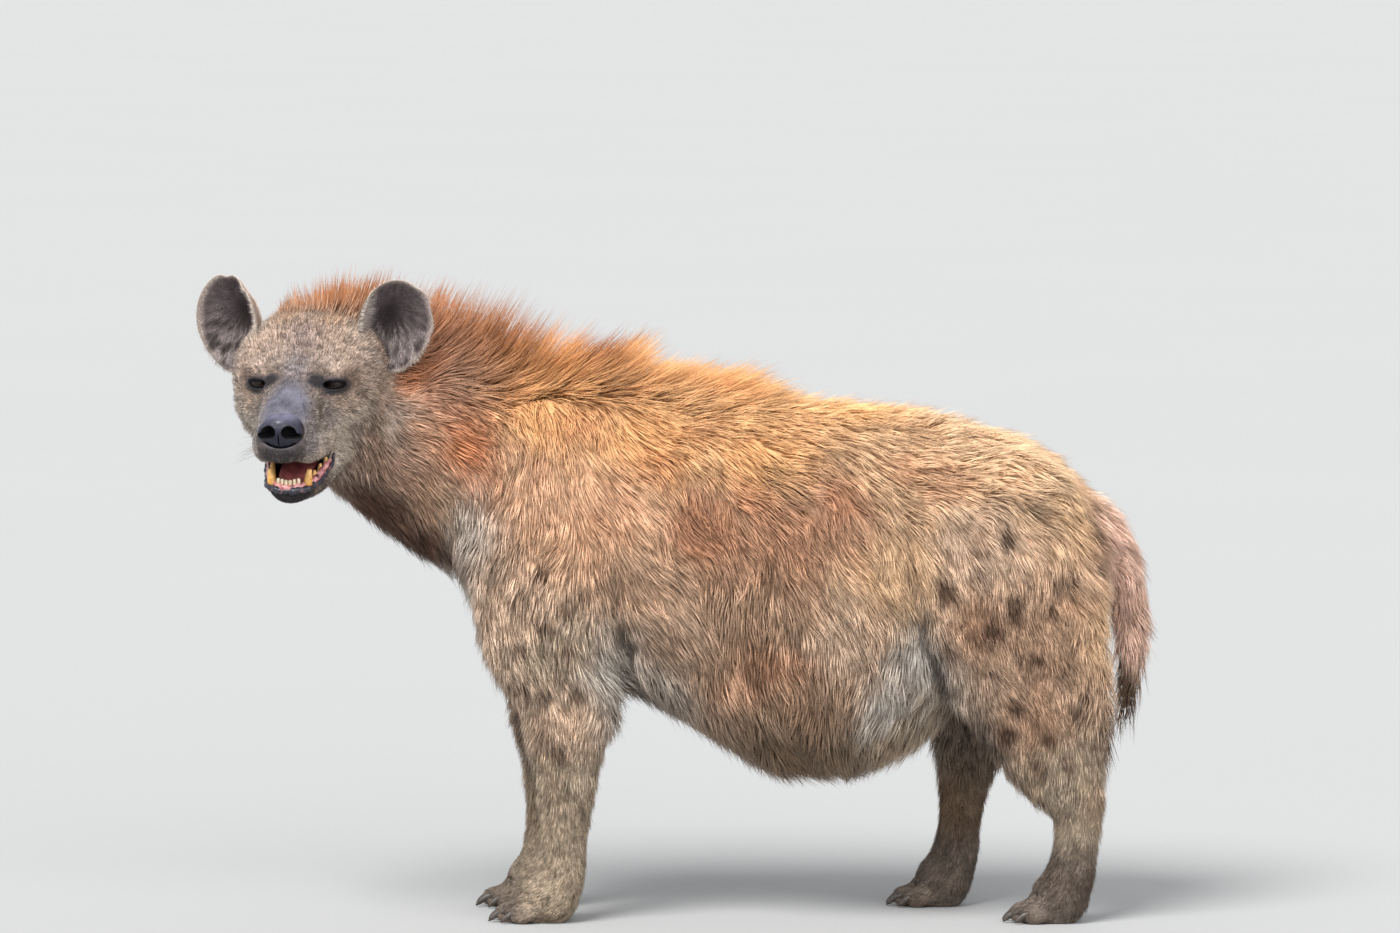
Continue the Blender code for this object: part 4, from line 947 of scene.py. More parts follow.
def mane_share(points):
    """How much each point belongs to the mane, the mane's row there, the way along it and how far aside."""
    fine = dense(MANE, 8)
    tree = tree_of([(x, y, 0) for x, y, *_ in fine])
    share, row = np.zeros(len(points)), np.zeros((len(points), 4))
    way = unit(np.gradient(fine[:, :2], axis=0))
    along = np.zeros((len(points), 3))
    aside = np.zeros(len(points))
    for i in np.nonzero((points[:, 0] < MANE_BACK) & (points[:, 2] > MANE_LOW))[0]:
        _, at, away = tree.find((points[i, 0], points[i, 1], 0))
        row[i], along[i, :2] = fine[at], way[at]
        side = points[i, :2] - fine[at, :2]
        aside[i] = side[1] * way[at, 0] - side[0] * way[at, 1]
        share[i] = max(0.0, min(1.0, (MANE_REACH - away) / MANE_EDGE))
    share *= fade(points[:, 0], 0.02, 0.12) * fade(in_head(points)[:, 0], -0.114, -0.092)
    return share, row, along, aside


MANE_LEAN = 0.8  # of the lean in its table
MANE_SPREAD = 9  # how far its hairs lean aside, for each metre from its middle
CLUMP_PULL = 0.46  # of the tips of long hair, towards the middle of their clump
LENGTHS_VARY = (0.70, 1.14)
# How the lie swings to and fro: amount, size of the waves, seed
SWINGS = ((0.36, 0.17, 60), (0.32, 0.065, 61), (0.18, 0.030, 63))


def lay_flat(lie, normals):
    return unit(lie - normals * (lie * normals).sum(1, keepdims=True))


def raised(flat, normals, lift):
    return unit(flat * np.cos(lift)[:, None] + normals * np.sin(lift)[:, None])


def comb(points, normals, chance):
    """The hairs that grow from these places: lie, length, lift, tint, and how strongly they clump."""
    lie, length, lift, tint = read_coat(points)
    share, row, along, aside = mane_share(points)
    rise = np.maximum(row[:, 2] - points[:, 2], 0.02)
    up = np.zeros_like(points)
    up[:, 2] = 1
    sideways = np.stack([-along[:, 1], along[:, 0], np.zeros(len(along))], 1)
    mane_lie = unit(up + along * row[:, 3:4] * MANE_LEAN + sideways * aside[:, None] * MANE_SPREAD)
    mane_length = np.clip(rise / np.maximum(mane_lie[:, 2], 0.3), *MANE_LENGTHS)
    flat = lay_flat(lie, normals)
    swing = sum(amount * ripple(points, size, seed) for amount, size, seed in SWINGS)
    swing *= np.clip(length / 0.03, 0.3, 1)
    flat = flat * np.cos(swing)[:, None] + np.cross(normals, flat) * np.sin(swing)[:, None]
    lift = lift * (1 + 0.50 * ripple(points, 0.045, 62)) + chance.normal(0, 0.07, len(lift))
    way = unit(raised(flat, normals, lift) * (1 - share[:, None]) + mane_lie * share[:, None])
    length = length * (1 - share) + mane_length * share
    pull = np.clip((length - 0.008) / 0.026, 0, 1) * CLUMP_PULL - 0.10 * share
    length = length * chance.uniform(*LENGTHS_VARY, len(length)) * (1 + 0.14 * ripple(points, 0.035, 64))
    length *= 1 - 0.45 * crease(points)
    return way, length, tint, pull, share


HAIRS_IN_A_CLUMP = 17
TWIST = (0.17, 0.30)  # of a clump: spread and limit, as shares of its length
STRAY = (0.07, 0.14)  # of a hair


def clump(points, length, pull, share, chance):
    """Draws the tips of neighbouring hairs together. Returns the tips' shift and each hair's clump."""
    count = int(len(points) / HAIRS_IN_A_CLUMP)
    hearts = points[chance.choice(len(points), count, replace=False, p=clump_odds(length, share))]
    tree = tree_of(hearts)
    own = np.array([tree.find(place)[1] for place in points])
    pull = pull * chance.uniform(0.35, 1.25, count)[own]
    shift = (hearts[own] - points) * pull[:, None]
    reach = np.linalg.norm(shift, axis=1, keepdims=True)
    shift *= np.minimum(1, 0.45 * length[:, None] / np.maximum(reach, 1e-6))
    twist, stray = (
        np.clip(chance.normal(0, spread, (many, 3)), -limit, limit)
        for many, (spread, limit) in ((count, TWIST), (len(points), STRAY))
    )
    return shift + (twist[own] * np.clip(pull, 0.1, 1)[:, None] + stray) * length[:, None], own


def clump_odds(length, share):
    """Clumps are as many as fit at their spacing, so long hair has few."""
    odds = np.where(length > 0.018, 1.0, 1.5) * (1 - 0.25 * share)
    return odds / odds.sum()


RING = np.array([(-1.0, 0.0), (1.0, 0.0), (0.0, 1.0)])
LOWER, UPPER = 0.42, 0.60  # the two parts of a bent hair, as shares of its length
DROOP = 0.16  # of long hair, by its own weight
ROOT_DEPTH = 0.0012  # of a hair's start, under the skin
PATCH = 0.003  # the size of a hair's patch in the UV map
UV_MARGIN = 0.01
FLOOR_CLEARANCE = 0.0003


def hair_pattern(rings):
    """The triangles of one hair: rings of three points and a tip."""
    tip = rings * 3
    triangles = [(0, 1, 2)]
    for low in range(0, tip - 3, 3):
        for a, b in ((low, low + 1), (low + 1, low + 2), (low + 2, low)):
            triangles += [(a, a + 3, b), (b, a + 3, b + 3)]
    return triangles + [(tip - 3, tip, tip - 2), (tip - 2, tip, tip - 1), (tip - 1, tip, tip - 3)]


def hair_mesh(roots, normals, way, length, shift, rings, fineness=1.0):
    """Tapered three-sided hairs: points, triangles, the place along each, patches, and points for each."""
    n = len(roots)
    lower = unit(way + normals * 0.45)
    knee = roots + lower * (length * LOWER)[:, None] + shift * 0.30
    droop = DROOP * np.clip((length - 0.01) / 0.03, 0, 1)
    upper = unit(way - normals * 0.10 - np.outer(droop, (0, 0, 1)))
    tip = knee + upper * (length * UPPER)[:, None] + shift * 0.70
    start = roots - lower * ROOT_DEPTH
    wide = hair_width(length) * fineness
    points, places, patch = [], [], []
    for t in np.arange(rings) / rings:
        at = start * (1 - t) ** 2 + knee * 2 * t * (1 - t) + tip * t**2
        along = unit((knee - start) * (1 - t) + (tip - knee) * t)
        side = unit(np.cross(along, normals))
        rise = np.cross(side, along)
        taper = (1 - t) ** 0.75
        for across, up in RING:
            aside = side * (across * wide * taper / 2)[:, None]
            points.append(at + aside + rise * (up * wide * taper * HAIR_THICK)[:, None])
            places.append(t)
            patch.append((across * taper * PATCH / 2, (t - 0.5) * PATCH))
    points.append(tip)
    places.append(1.0)
    patch.append((0.0, PATCH / 2))
    stride = rings * 3 + 1
    all_points = np.stack(points, 1).reshape(-1, 3)
    all_points[:, 2] = np.maximum(all_points[:, 2], FLOOR_CLEARANCE)
    offsets = (np.arange(n) * stride)[:, None, None]
    all_triangles = (np.array(hair_pattern(rings))[None] + offsets).reshape(-1, 3)
    return all_points, all_triangles, np.tile(places, n), np.tile(patch, (n, 1)), stride


def triangle_object(name, points, triangles):
    mesh = bpy.data.meshes.new(name)
    mesh.vertices.add(len(points))
    mesh.vertices.foreach_set("co", points.astype(np.float32).ravel())
    mesh.loops.add(len(triangles) * 3)
    mesh.loops.foreach_set("vertex_index", triangles.astype(np.int32).ravel())
    mesh.polygons.add(len(triangles))
    mesh.polygons.foreach_set("loop_start", np.arange(0, len(triangles) * 3, 3, dtype=np.int32))
    mesh.update(calc_edges=True)
    return add_object(name, mesh)


def unroll(roots, region):
    """Each root's place on an unrolling of the skin, from 0 to 1 both ways."""
    if region.startswith("head"):
        own = in_head(roots)
        along, turn = own[:, 0], np.arctan2(own[:, 1], own[:, 2] + 0.04)
    elif "leg" in region:
        middle = np.median(roots, axis=0)
        along, turn = roots[:, 2], np.arctan2(roots[:, 1] - middle[1], roots[:, 0] - middle[0])
    elif region == "tail":
        along, turn = roots[:, 2], np.arctan2(roots[:, 1], roots[:, 0] - 0.61)
    else:
        along, turn = roots[:, 0], np.arctan2(roots[:, 1], roots[:, 2] - 0.50)
    flat = np.stack([along, turn], 1)
    low, high = flat.min(0), flat.max(0)
    return UV_MARGIN + (1 - 2 * UV_MARGIN) * (flat - low) / np.maximum(high - low, 1e-6)


class Hairs:
    """Hairs of one region, gathered before they become a mesh."""

    def __init__(self, roots, normals, way, length, shift, tint, tip_tint):
        self.parts = (roots, normals, way, length, shift, tint, tip_tint)

    def take(self, chosen):
        return Hairs(*(part[chosen] for part in self.parts))

    def build(self, name, region, material, slot, fineness=1.0):
        roots, normals, way, length, shift, tint, tip_tint = self.parts
        place_uv = unroll(roots, region)
        points, triangles, places, tints, uv, start = [], [], [], [], [], 0
        for rings, low, high in ((1, 0.0, SHORT_HAIR), (2, SHORT_HAIR, LONG_HAIR), (3, LONG_HAIR, 1.0)):
            pick = (length >= low) & (length < high)
            if not pick.any():
                continue
            chosen = [part[pick] for part in (roots, normals, way, length, shift)]
            p, t, along, patch, stride = hair_mesh(*chosen, rings, fineness)
            points.append(p)
            triangles.append(t + start)
            start += len(p)
            places.append(along)
            root, tip, at = (np.repeat(part[pick], stride, 0) for part in (tint, tip_tint, place_uv))
            tints.append(mix(root, tip, along))
            uv.append(at + patch)
        triangles = np.concatenate(triangles)
        obj = triangle_object(name, np.concatenate(points), triangles)
        give(obj, "tint", np.concatenate(tints))
        give(obj, "along", np.concatenate(places))
        layer = obj.data.uv_layers.new(name="OFBake")
        layer.data.foreach_set("uv", np.concatenate(uv)[triangles.ravel()].astype(np.float32).ravel())
        return settle(obj, material, slot)


TAIL_BOX = (0.578, 0.035, 0.56)  # the tail's start, its reach to each side and its top
TRUNK_ENDS = (-0.30, 0.02, 0.30)  # of the pieces for the neck, the chest and the flank, from front to back
LEG_TOP, FORELEG_END, HINDLEG_START = 0.36, -0.08, 0.27
HEAD_BACK, HEAD_END = -0.13, -0.42  # behind the eyes, and the largest x


def on_tail(points):
    start, half, top = TAIL_BOX
    return (points[:, 0] > start) & (np.abs(points[:, 1]) < half) & (points[:, 2] < top)


def regions(points):
    """The name of the coat piece that each root belongs to."""
    side = np.where(points[:, 1] < 0, "left", "right")
    x, low = points[:, 0], points[:, 2] < LEG_TOP
    names = np.select([x < end for end in TRUNK_ENDS], ["neck", "chest", "flank"], "rump").astype(object)
    names = np.where(low & (x > HINDLEG_START), "hindleg", names)
    names = np.where(low & (x < FORELEG_END), "foreleg", names)
    names = np.where(on_tail(points), "tail", names + "_" + side)
    return np.where((in_head(points)[:, 0] > HEAD_BACK) & (x < HEAD_END), "head", names)


MANE_LAYERS = 2.2  # by how much more the mane is covered
TAIL_LAYERS = 1.9  # times as many on the tail
HAIR_COVERS = 0.55  # of its length times its width
MANE_HAIR = 0.06  # its length, for the density


def hair_density(points):
    """Hairs for each square metre that cover the skin in layers."""
    share = mane_share(points)[0]
    length = read_coat(points)[1] * (1 - share) + MANE_HAIR * share
    layers = np.interp(length, COVER_LENGTHS, COVER) * (1 + MANE_LAYERS * share)
    layers = layers * np.where(on_tail(points), TAIL_LAYERS, 1.0) * (1 - 0.80 * bareness(points))
    return layers / (HAIR_COVERS * length * hair_width(length)) * (1 - baldness(points))


# Shades of single hairs and of clumps: on the body, and what the face adds
HAIR_GRAIN = (0.08, 0.14)
CLUMP_GRAIN = (0.15, 0.09)
# The dark and the pale hairs: how many there are, and how light, on the body and with what the face adds
ODD_HAIRS = (((0.06, 0.20), (0.60, -0.24)), ((0.09, 0.22), (1.20, 0.55)))
SALT = (0.20, 0.5)  # how many of the snout's clumps are silver, and how much


def shade_tufts(inner, outer, points, own, share, chance):
    """The tints of the hairs' roots and tips: lighter and darker hairs and clumps, dark mane tips."""
    count = own.max() + 1
    face = fade(-in_head(points)[:, 0], 0.06, 0.12)

    def here(amounts):
        return amounts[0] + amounts[1] * face

    grain = 1 + chance.normal(0, 1, len(points)) * here(HAIR_GRAIN)
    grain = grain * (1 + chance.normal(0, 1, count)[own] * here(CLUMP_GRAIN))
    for many, light in ODD_HAIRS:
        grain = grain * np.where(chance.random(len(points)) < here(many), here(light), 1)
    grain = np.clip(grain, 0.28, 2.0)[:, None]
    snout = near(points, (0.050, 0, -0.070), (0.090, 0.085, 0.065), 0.8, 1.2) * (1 - bareness(points))
    salt = np.where(chance.random(count)[own] < SALT[0], SALT[1], 0.0) * snout
    inner, outer = (mix(part, TINTS["silver"], salt) * grain for part in (inner, outer))
    pale_tip = chance.uniform(0, 0.40, count)[own] * (1 - share)
    tip = mix(outer, outer * (1.10, 1.16, 1.24), pale_tip)
    tip = mix(tip, tip * (0.76, 0.64, 0.54), share)
    dark_tip = np.clip(ripple(points, 0.055, 8) * 1.2, 0, 1) * share * chance.uniform(0.3, 1.0, count)[own]
    tip = mix(tip, TINTS["umber"], 0.62 * dark_tip)
    return tuple(part / np.maximum(part.max(1, keepdims=True), 1) for part in (inner.clip(0), tip.clip(0)))


EAR_NEIGHBOURS = 0.17  # how far from an ear the hairs may touch it
MARKED_AT = (0.25, 0.80)  # where the markings are read for a hair's root and its tip, as shares of its reach


def clear_of_ears(roots, tips, ears):
    """True for the hairs that don't pass through an ear."""
    clear = np.ones(len(roots), bool)
    for side, ear in ears.items():
        surface = surface_of(ear)
        centre = head_point(*(np.array(EAR_AT) * (1, side, 1)))
        for i in np.nonzero(np.linalg.norm(roots - centre, axis=1) < EAR_NEIGHBOURS)[0]:
            way = Vector(tips[i] - roots[i])
            clear[i] &= surface.ray_cast(Vector(roots[i]), way.normalized(), way.length)[0] is None
    return clear


def build_coat(skin, ears, chance):
    surface = Surface(skin)
    roots, normals = surface.scatter(hair_density(surface.points), chance)
    way, length, tint, pull, share = comb(roots, normals, chance)
    shift, own = clump(roots, length, pull, share, chance)
    clear = clear_of_ears(roots, roots + way * length[:, None] * 1.05 + shift, ears)
    kept = [part[clear] for part in (roots, normals, way, length, tint, share, shift, own)]
    roots, normals, way, length, tint, share, shift, own = kept
    reach = way * length[:, None] + shift
    inner, outer = (marked(roots + reach * t, tint) for t in MARKED_AT)
    hairs = Hairs(roots, normals, way, length, shift, *shade_tufts(inner, outer, roots, own, share, chance))
    material = coat_finish()
    names = regions(roots)
    for name in sorted(set(names)):
        slot = {"head": "face", "neck": "mane", "tail": "tail_brush"}.get(name.split("_")[0], "coat")
        slot = "leg_coat" if "leg" in name else slot
        hairs.take(names == name).build("coat_" + name, name, material, slot)


# ---- shader values ----
class Wire:
    """A shader socket that takes part in Python arithmetic."""

    def __init__(self, finish, socket):
        self.finish = finish
        self.socket = socket

    def _math(self, operation, a, b):
        return self.finish.node("ShaderNodeMath", {"operation": operation}, {0: a, 1: b})

    def __add__(self, other):
        return self._math("ADD", self, other)

    __radd__ = __add__

    def __sub__(self, other):
        return self._math("SUBTRACT", self, other)

    def __rsub__(self, other):
        return self._math("SUBTRACT", other, self)

    def __mul__(self, other):
        return self._math("MULTIPLY", self, other)

    __rmul__ = __mul__


class Finish:
    """A material under construction."""

    def __init__(self, name):
        self.material = bpy.data.materials.new(name)
        self.material.use_nodes = True
        self.tree = self.material.node_tree
        self.shader = self.tree.nodes["Principled BSDF"]

    def node(self, kind, settings=None, sockets=None, out=0):
        """Adds any node: its settings first, then the values or links of its sockets."""
        node = self.tree.nodes.new(kind)
        for key, value in (settings or {}).items():
            if key == "stops":
                self.set_stops(node.color_ramp, value)
            else:
                setattr(node, key, value)
        for key, value in (sockets or {}).items():
            self.put(node.inputs[key], value)
        return Wire(self, node.outputs[out])

    def set_stops(self, ramp, stops):
        while len(ramp.elements) < len(stops):
            ramp.elements.new(1.0)
        for element, (place, colour) in zip(ramp.elements, stops):
            element.position = place
            element.color = (*colour, 1)

    def put(self, socket, value):
        if isinstance(value, Wire):
            self.tree.links.new(value.socket, socket)
        else:
            socket.default_value = (*value, 1) if socket.type == "RGBA" and len(value) == 3 else value

    def attribute(self, name, out):
        return self.node("ShaderNodeAttribute", {"attribute_name": name}, out=out)

    def place(self):
        return self.node("ShaderNodeTexCoord", out="Object")

    def noise(self, scale, detail=3.0, roughness=0.5, where=None):
        sockets = {"Scale": scale, "Detail": detail, "Roughness": roughness}
        return self.node("ShaderNodeTexNoise", {}, {**sockets, "Vector": where or self.place()}, out="Fac")

    def stretched(self, scale):
        """Coordinates drawn out by this much each way."""
        return self.node("ShaderNodeMapping", {}, {"Vector": self.place(), "Scale": scale})

    def cells(self, scale):
        sockets = {"Scale": scale, "Vector": self.place()}
        return self.node("ShaderNodeTexVoronoi", {}, sockets, out="Distance")

    def ramp(self, value, stops):
        return self.node("ShaderNodeValToRGB", {"stops": stops}, {0: value})

    def between(self, value, dark, light, low=0.3, high=0.7):
        """From dark to light as the value goes from low to high."""
        return self.ramp(value, [(low, dark), (high, light)])

    def times(self, a, b):
        return self.mix(1.0, a, b, "MULTIPLY")

    def mix(self, share, a, b, way="MIX"):
        settings = {"data_type": "RGBA", "blend_type": way, "clamp_factor": True}
        return self.node("ShaderNodeMix", settings, {0: share, 6: a, 7: b}, out=2)

    def bump(self, height, distance, strength=1.0, over=None):
        sockets = {"Height": height, "Distance": distance, "Strength": strength}
        if over is not None:
            sockets["Normal"] = over
        return self.node("ShaderNodeBump", {}, sockets)

    def finished(self, **sockets):
        """Sets the shader's sockets, named with underscores for spaces."""
        for key, value in sockets.items():
            self.put(self.shader.inputs[key.replace("_", " ")], value)
        return self.material


def skin_finish():
    f = Finish("skin")
    tint, bare = f.attribute("tint", "Color"), f.attribute("bare", "Fac")
    mouth, black = f.attribute("mouth", "Fac"), f.attribute("black", "Fac")
    fine, broad = f.noise(700, 4, 0.6), f.noise(60, 3, 0.55)
    under_hair = f.times(tint, f.between(fine, (0.48, 0.45, 0.42), (0.92, 0.90, 0.88)))
    slate = f.between(broad * 0.7 + fine * 0.3, (0.034, 0.032, 0.043), (0.135, 0.128, 0.160), 0.32, 0.66)
    soot = f.between(fine, (0.006, 0.005, 0.006), (0.024, 0.020, 0.022))
    wet = f.between(broad, (0.110, 0.018, 0.020), (0.330, 0.085, 0.085))
    colour = f.mix(black, f.mix(mouth, f.mix(bare, under_hair, slate), wet), soot)
    wrinkles = f.bump(f.noise(240, 4, 0.62), 0.0012, 0.5, f.bump(fine, 0.0006, 0.5))
    rough = 0.78 - 0.24 * bare * (1.0 - black) - 0.30 * mouth
    return f.finished(Base_Color=colour, Roughness=rough, Specular_IOR_Level=0.24, Normal=wrinkles)


def coat_finish():
    f = Finish("coat")
    tint, along = f.attribute("tint", "Color"), f.attribute("along", "Fac")
    # Painted shade: each hair darkens towards its root, and is a little lighter at its tip.
    shades = [(0.0, (0.62, 0.58, 0.54)), (0.45, (0.95, 0.94, 0.93)), (1.0, (1.06, 1.05, 1.04))]
    streaks = f.between(f.noise(420, 2, 0.5), (0.82, 0.81, 0.80), (1.14, 1.13, 1.12))
    colour = f.times(f.times(tint, f.ramp(along, shades)), streaks)
    return f.finished(Base_Color=colour, Roughness=0.62 - 0.10 * along, Specular_IOR_Level=0.22)


def nose_finish():
    f = Finish("nose_leather")
    broad, nostril, top = f.noise(90, 3), f.attribute("nostril", "Fac"), f.attribute("dry", "Fac")
    wet = f.between(broad, (0.004, 0.004, 0.008), (0.016, 0.016, 0.030))
    # Painted sheen: the top of the pad is a lighter blue-grey.
    sheen_grey = f.between(broad, (0.060, 0.058, 0.088), (0.140, 0.133, 0.190))
    # Painted shade makes the nostrils near black inside.
    colour = f.mix(nostril, f.mix(top * 0.85, wet, sheen_grey), (0.002, 0.0015, 0.0015))
    rough = 0.22 + 0.16 * broad + 0.5 * nostril
    grain = f.bump(f.cells(900), 0.0004, 0.45)
    return f.finished(Base_Color=colour, Roughness=rough, Specular_IOR_Level=0.34, Normal=grain)


def eye_finish():
    f = Finish("eye")
    rings = [
        (0.00, (0.004, 0.003, 0.003)),
        (0.26, (0.004, 0.003, 0.003)),
        (0.30, (0.026, 0.013, 0.007)),
        (0.52, (0.016, 0.008, 0.005)),
        (0.60, (0.006, 0.004, 0.003)),
        (0.75, (0.014, 0.009, 0.008)),
        (1.00, (0.024, 0.014, 0.012)),
    ]
    flecks = f.between(f.noise(500, 3, 0.6), (0.006, 0.004, 0.003), (0.030, 0.015, 0.010))
    colour = f.mix(0.30, f.ramp(f.attribute("from_gaze", "Fac"), rings), flecks)
    return f.finished(Base_Color=colour, Roughness=0.09, Specular_IOR_Level=0.32)


def lid_finish():
    f = Finish("lid")
    fine = f.noise(600, 4, 0.6)
    colour = f.between(fine, (0.003, 0.0025, 0.003), (0.011, 0.009, 0.010))
    rough, grain = 0.66 - 0.1 * fine, f.bump(fine, 0.0004, 0.5)
    return f.finished(Base_Color=colour, Roughness=rough, Specular_IOR_Level=0.06, Normal=grain)


def lip_finish():
    f = Finish("lip")
    fine, broad = f.noise(500, 4, 0.6), f.noise(110, 2)
    blotches = [(0.35, (0.006, 0.006, 0.011)), (0.60, (0.021, 0.019, 0.032)), (0.72, (0.26, 0.11, 0.12))]
    rough, grain = 0.34 + 0.2 * fine, f.bump(fine, 0.0007, 0.6)
    return f.finished(Base_Color=f.ramp(broad, blotches), Roughness=rough, Coat_Weight=0.2, Normal=grain)


def gum_finish():
    f = Finish("gum")
    broad, fine = f.noise(130, 3), f.noise(600, 3)
    blotches = [(0.32, (0.03, 0.010, 0.014)), (0.44, (0.42, 0.14, 0.14)), (0.70, (0.66, 0.34, 0.32))]
    rough, grain = 0.22 + 0.2 * fine, f.bump(fine, 0.0005, 0.5)
    return f.finished(Base_Color=f.ramp(broad, blotches), Roughness=rough, Coat_Weight=0.4, Normal=grain)


def tongue_finish():
    f = Finish("tongue")
    bumps, broad = f.cells(650), f.noise(70, 3)
    colour = f.between(broad, (0.17, 0.030, 0.032), (0.40, 0.115, 0.110))
    rough, grain = 0.28 + 0.15 * bumps, f.bump(bumps, 0.0006, 0.6)
    return f.finished(Base_Color=colour, Roughness=rough, Coat_Weight=0.3, Normal=grain)


def tooth_finish():
    """Orange for the canines and cheek teeth, pale below 0.5, and cream for the incisors, above it."""
    f = Finish("tooth")
    stain = f.noise(260, 4, 0.6)
    orange = [(0.0, (0.40, 0.15, 0.035)), (0.2, (0.68, 0.36, 0.09)), (0.5, (0.80, 0.50, 0.18))]
    cream = [(0.51, (0.50, 0.36, 0.20)), (0.8, (0.80, 0.66, 0.46)), (1.0, (0.84, 0.74, 0.56))]
    stains = f.between(stain, (0.62, 0.52, 0.42), (1.0, 1.0, 1.0), high=0.62)
    colour = f.times(f.ramp(f.attribute("pale", "Fac"), orange + cream), stains)
    return f.finished(Base_Color=colour, Roughness=0.24 + 0.2 * stain, Normal=f.bump(stain, 0.0004, 0.5))


def claw_finish():
    f = Finish("claw")
    grain = f.noise(200, 4, 0.6, f.stretched((0.4, 3.0, 3.0)))
    colour = f.between(grain, (0.016, 0.013, 0.011), (0.075, 0.058, 0.046))
    return f.finished(Base_Color=colour, Roughness=0.30 + 0.25 * grain, Normal=f.bump(grain, 0.0004, 0.4))


def ear_finish():
    f = Finish("ear")
    broad, fine = f.noise(80, 4, 0.6), f.noise(620, 4, 0.6)
    skin = f.between(broad * 0.65 + fine * 0.35, (0.060, 0.045, 0.048), (0.170, 0.132, 0.140))
    # Painted shade: near black in the ear's deep hollow and canal.
    pit_shade = f.between(fine, (0.006, 0.004, 0.004), (0.022, 0.014, 0.013))
    dish = f.mix(f.attribute("hollow", "Fac"), skin, pit_shade)
    colour = f.mix(f.attribute("rim", "Fac"), dish, (0.34, 0.27, 0.23))
    veins = f.bump(f.noise(150, 4, 0.65), 0.0014, 0.5, f.bump(fine, 0.0005, 0.4))
    return f.finished(Base_Color=colour, Roughness=0.55 + 0.2 * fine, Specular_IOR_Level=0.3, Normal=veins)


def floor_finish():
    f = Finish("floor")
    shade = f.between(f.noise(0.8, 2), (0.338, 0.337, 0.332), (0.342, 0.341, 0.336))
    return f.finished(Base_Color=shade, Roughness=0.85, Specular_IOR_Level=0.2)


# ---- the face ----
def build_eyes():
    """Eyeballs with a bulging cornea. They look along the head, a little outwards."""
    material = eye_finish()
    for side, word in SIDES:
        gaze = unit(FORWARDS + LEFT * 0.16 * side - UP * 0.03)
        points, faces = head_mass(eye_at(side), [EYE_RADIUS] * 3, around=56)
        outwards = unit(points - head_point(*eye_at(side)))
        angle = np.arccos(np.clip(outwards @ gaze, -1, 1))
        bulge = 0.0010 * np.clip(1 - (angle / 0.62) ** 2, 0, 1)
        points = points + outwards * bulge[:, None]
        eye = make_solid("eyeball_" + word, points, faces, from_gaze=np.clip(angle / 1.2, 0, 1))
        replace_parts(settle(eye, material, "eye"), "eye_" + word)


def ring_tube(path, radii, around=12):
    """A closed ring of tube through the path's points, with one radius for each point."""
    path = np.array(path)
    along = unit(np.roll(path, -1, 0) - np.roll(path, 1, 0))
    out = lay_flat(unit(path - path.mean(0)), along)
    turn = np.linspace(0, 2 * math.pi, around, endpoint=False)
    points, faces = [], []
    for i, (at, radius, outer, other) in enumerate(zip(path, radii, out, np.cross(along, out))):
        points.append(at + radius * (np.outer(np.cos(turn), outer) + np.outer(np.sin(turn), other)))
        faces += band(i * around, (i + 1) % len(path) * around, around)
    return np.concatenate(points), faces


# The almond between the lids, in degrees from the eyeball's middle: its half width and its shift outwards,
# half height above and below, the rise of its outer corner and the drop of the whole
LID_ALMOND = np.radians((61, 7, 18, 19, 3, 2))


def build_lids():
    """The dark rims of the lids, round an almond opening with a long inner corner."""
    material = lid_finish()
    wide, shift, above, below, slant, drop = LID_ALMOND
    for side, word in SIDES:
        path, radii = [], []
        for turn in np.linspace(0, 2 * math.pi, 56, endpoint=False):
            c, s = math.cos(turn), math.sin(turn)
            across = wide * c + shift
            high = (above if s > 0 else below) * s + slant * c - drop
            way = unit(FORWARDS + LEFT * side * math.tan(across) + UP * math.tan(high))
            stretch = 1 + 0.16 * max(0.0, -c) ** 3
            path.append(head_point(*eye_at(side)) + way * (EYE_RADIUS + 0.0008) * stretch)
            radii.append(0.0011 + 0.0013 * max(0.0, s) ** 0.7)
        settle(make_solid("lids_" + word, *ring_tube(path, radii)), material, "face")


NOSE_VOXEL = 0.0010
NOSTRILS = [  # from the nose's middle: place, half sizes and yaw of what is taken out on the left
    ((0.0230, 0.0150, 0.0010), (0.0240, 0.0110, 0.0096), 18),
    ((0.0160, 0.0220, -0.0035), (0.0190, 0.0078, 0.0046), 30),
]


def build_nose():
    """The nose's bare pad with open nostrils and the groove between them."""

    def lump(at, half, pitch=0.0, yaw=0.0, around=32):
        return head_mass(NOSE_AT + at, half, pitch, yaw, around)

    forms = [lump((0, 0, 0), NOSE_HALF, around=40)]
    for side in (-1, 1):
        forms.append(lump((0.008, 0.0185 * side, -0.001), (0.0165, 0.0145, 0.0150), yaw=18 * side))
    forms.append(lump((0.006, 0, 0.014), (0.017, 0.018, 0.010), pitch=12))
    nose = blend("nose", forms, NOSE_VOXEL)
    relax(nose, 10, 0.8)
    nostrils = [(mirrored(at, side), half, yaw * side) for side in (-1, 1) for at, half, yaw in NOSTRILS]
    for at, half, yaw in nostrils:
        carve(nose, lump(at, half, yaw=yaw))
    carve(nose, lump((0.027, 0, -0.016), (0.010, 0.0012, 0.016), around=20))
    relax(nose, 5, 0.6)
    points = read_points(nose)
    away = [within(points, NOSE_AT + at, half, yaw=yaw) for at, half, yaw in nostrils]
    forwards, _, up = (in_head(points) - NOSE_AT).T
    # Painted shade: near black inside the fronts of the nostrils.
    give(nose, "nostril", fade(np.minimum.reduce(away), 1.05, 1.15) * fade(forwards, 0.017, 0.024))
    # Painted sheen, rising towards the top of the pad.
    give(nose, "dry", np.clip((up - 0.011) / 0.013, 0, 1))
    settle(nose, nose_finish(), "face")


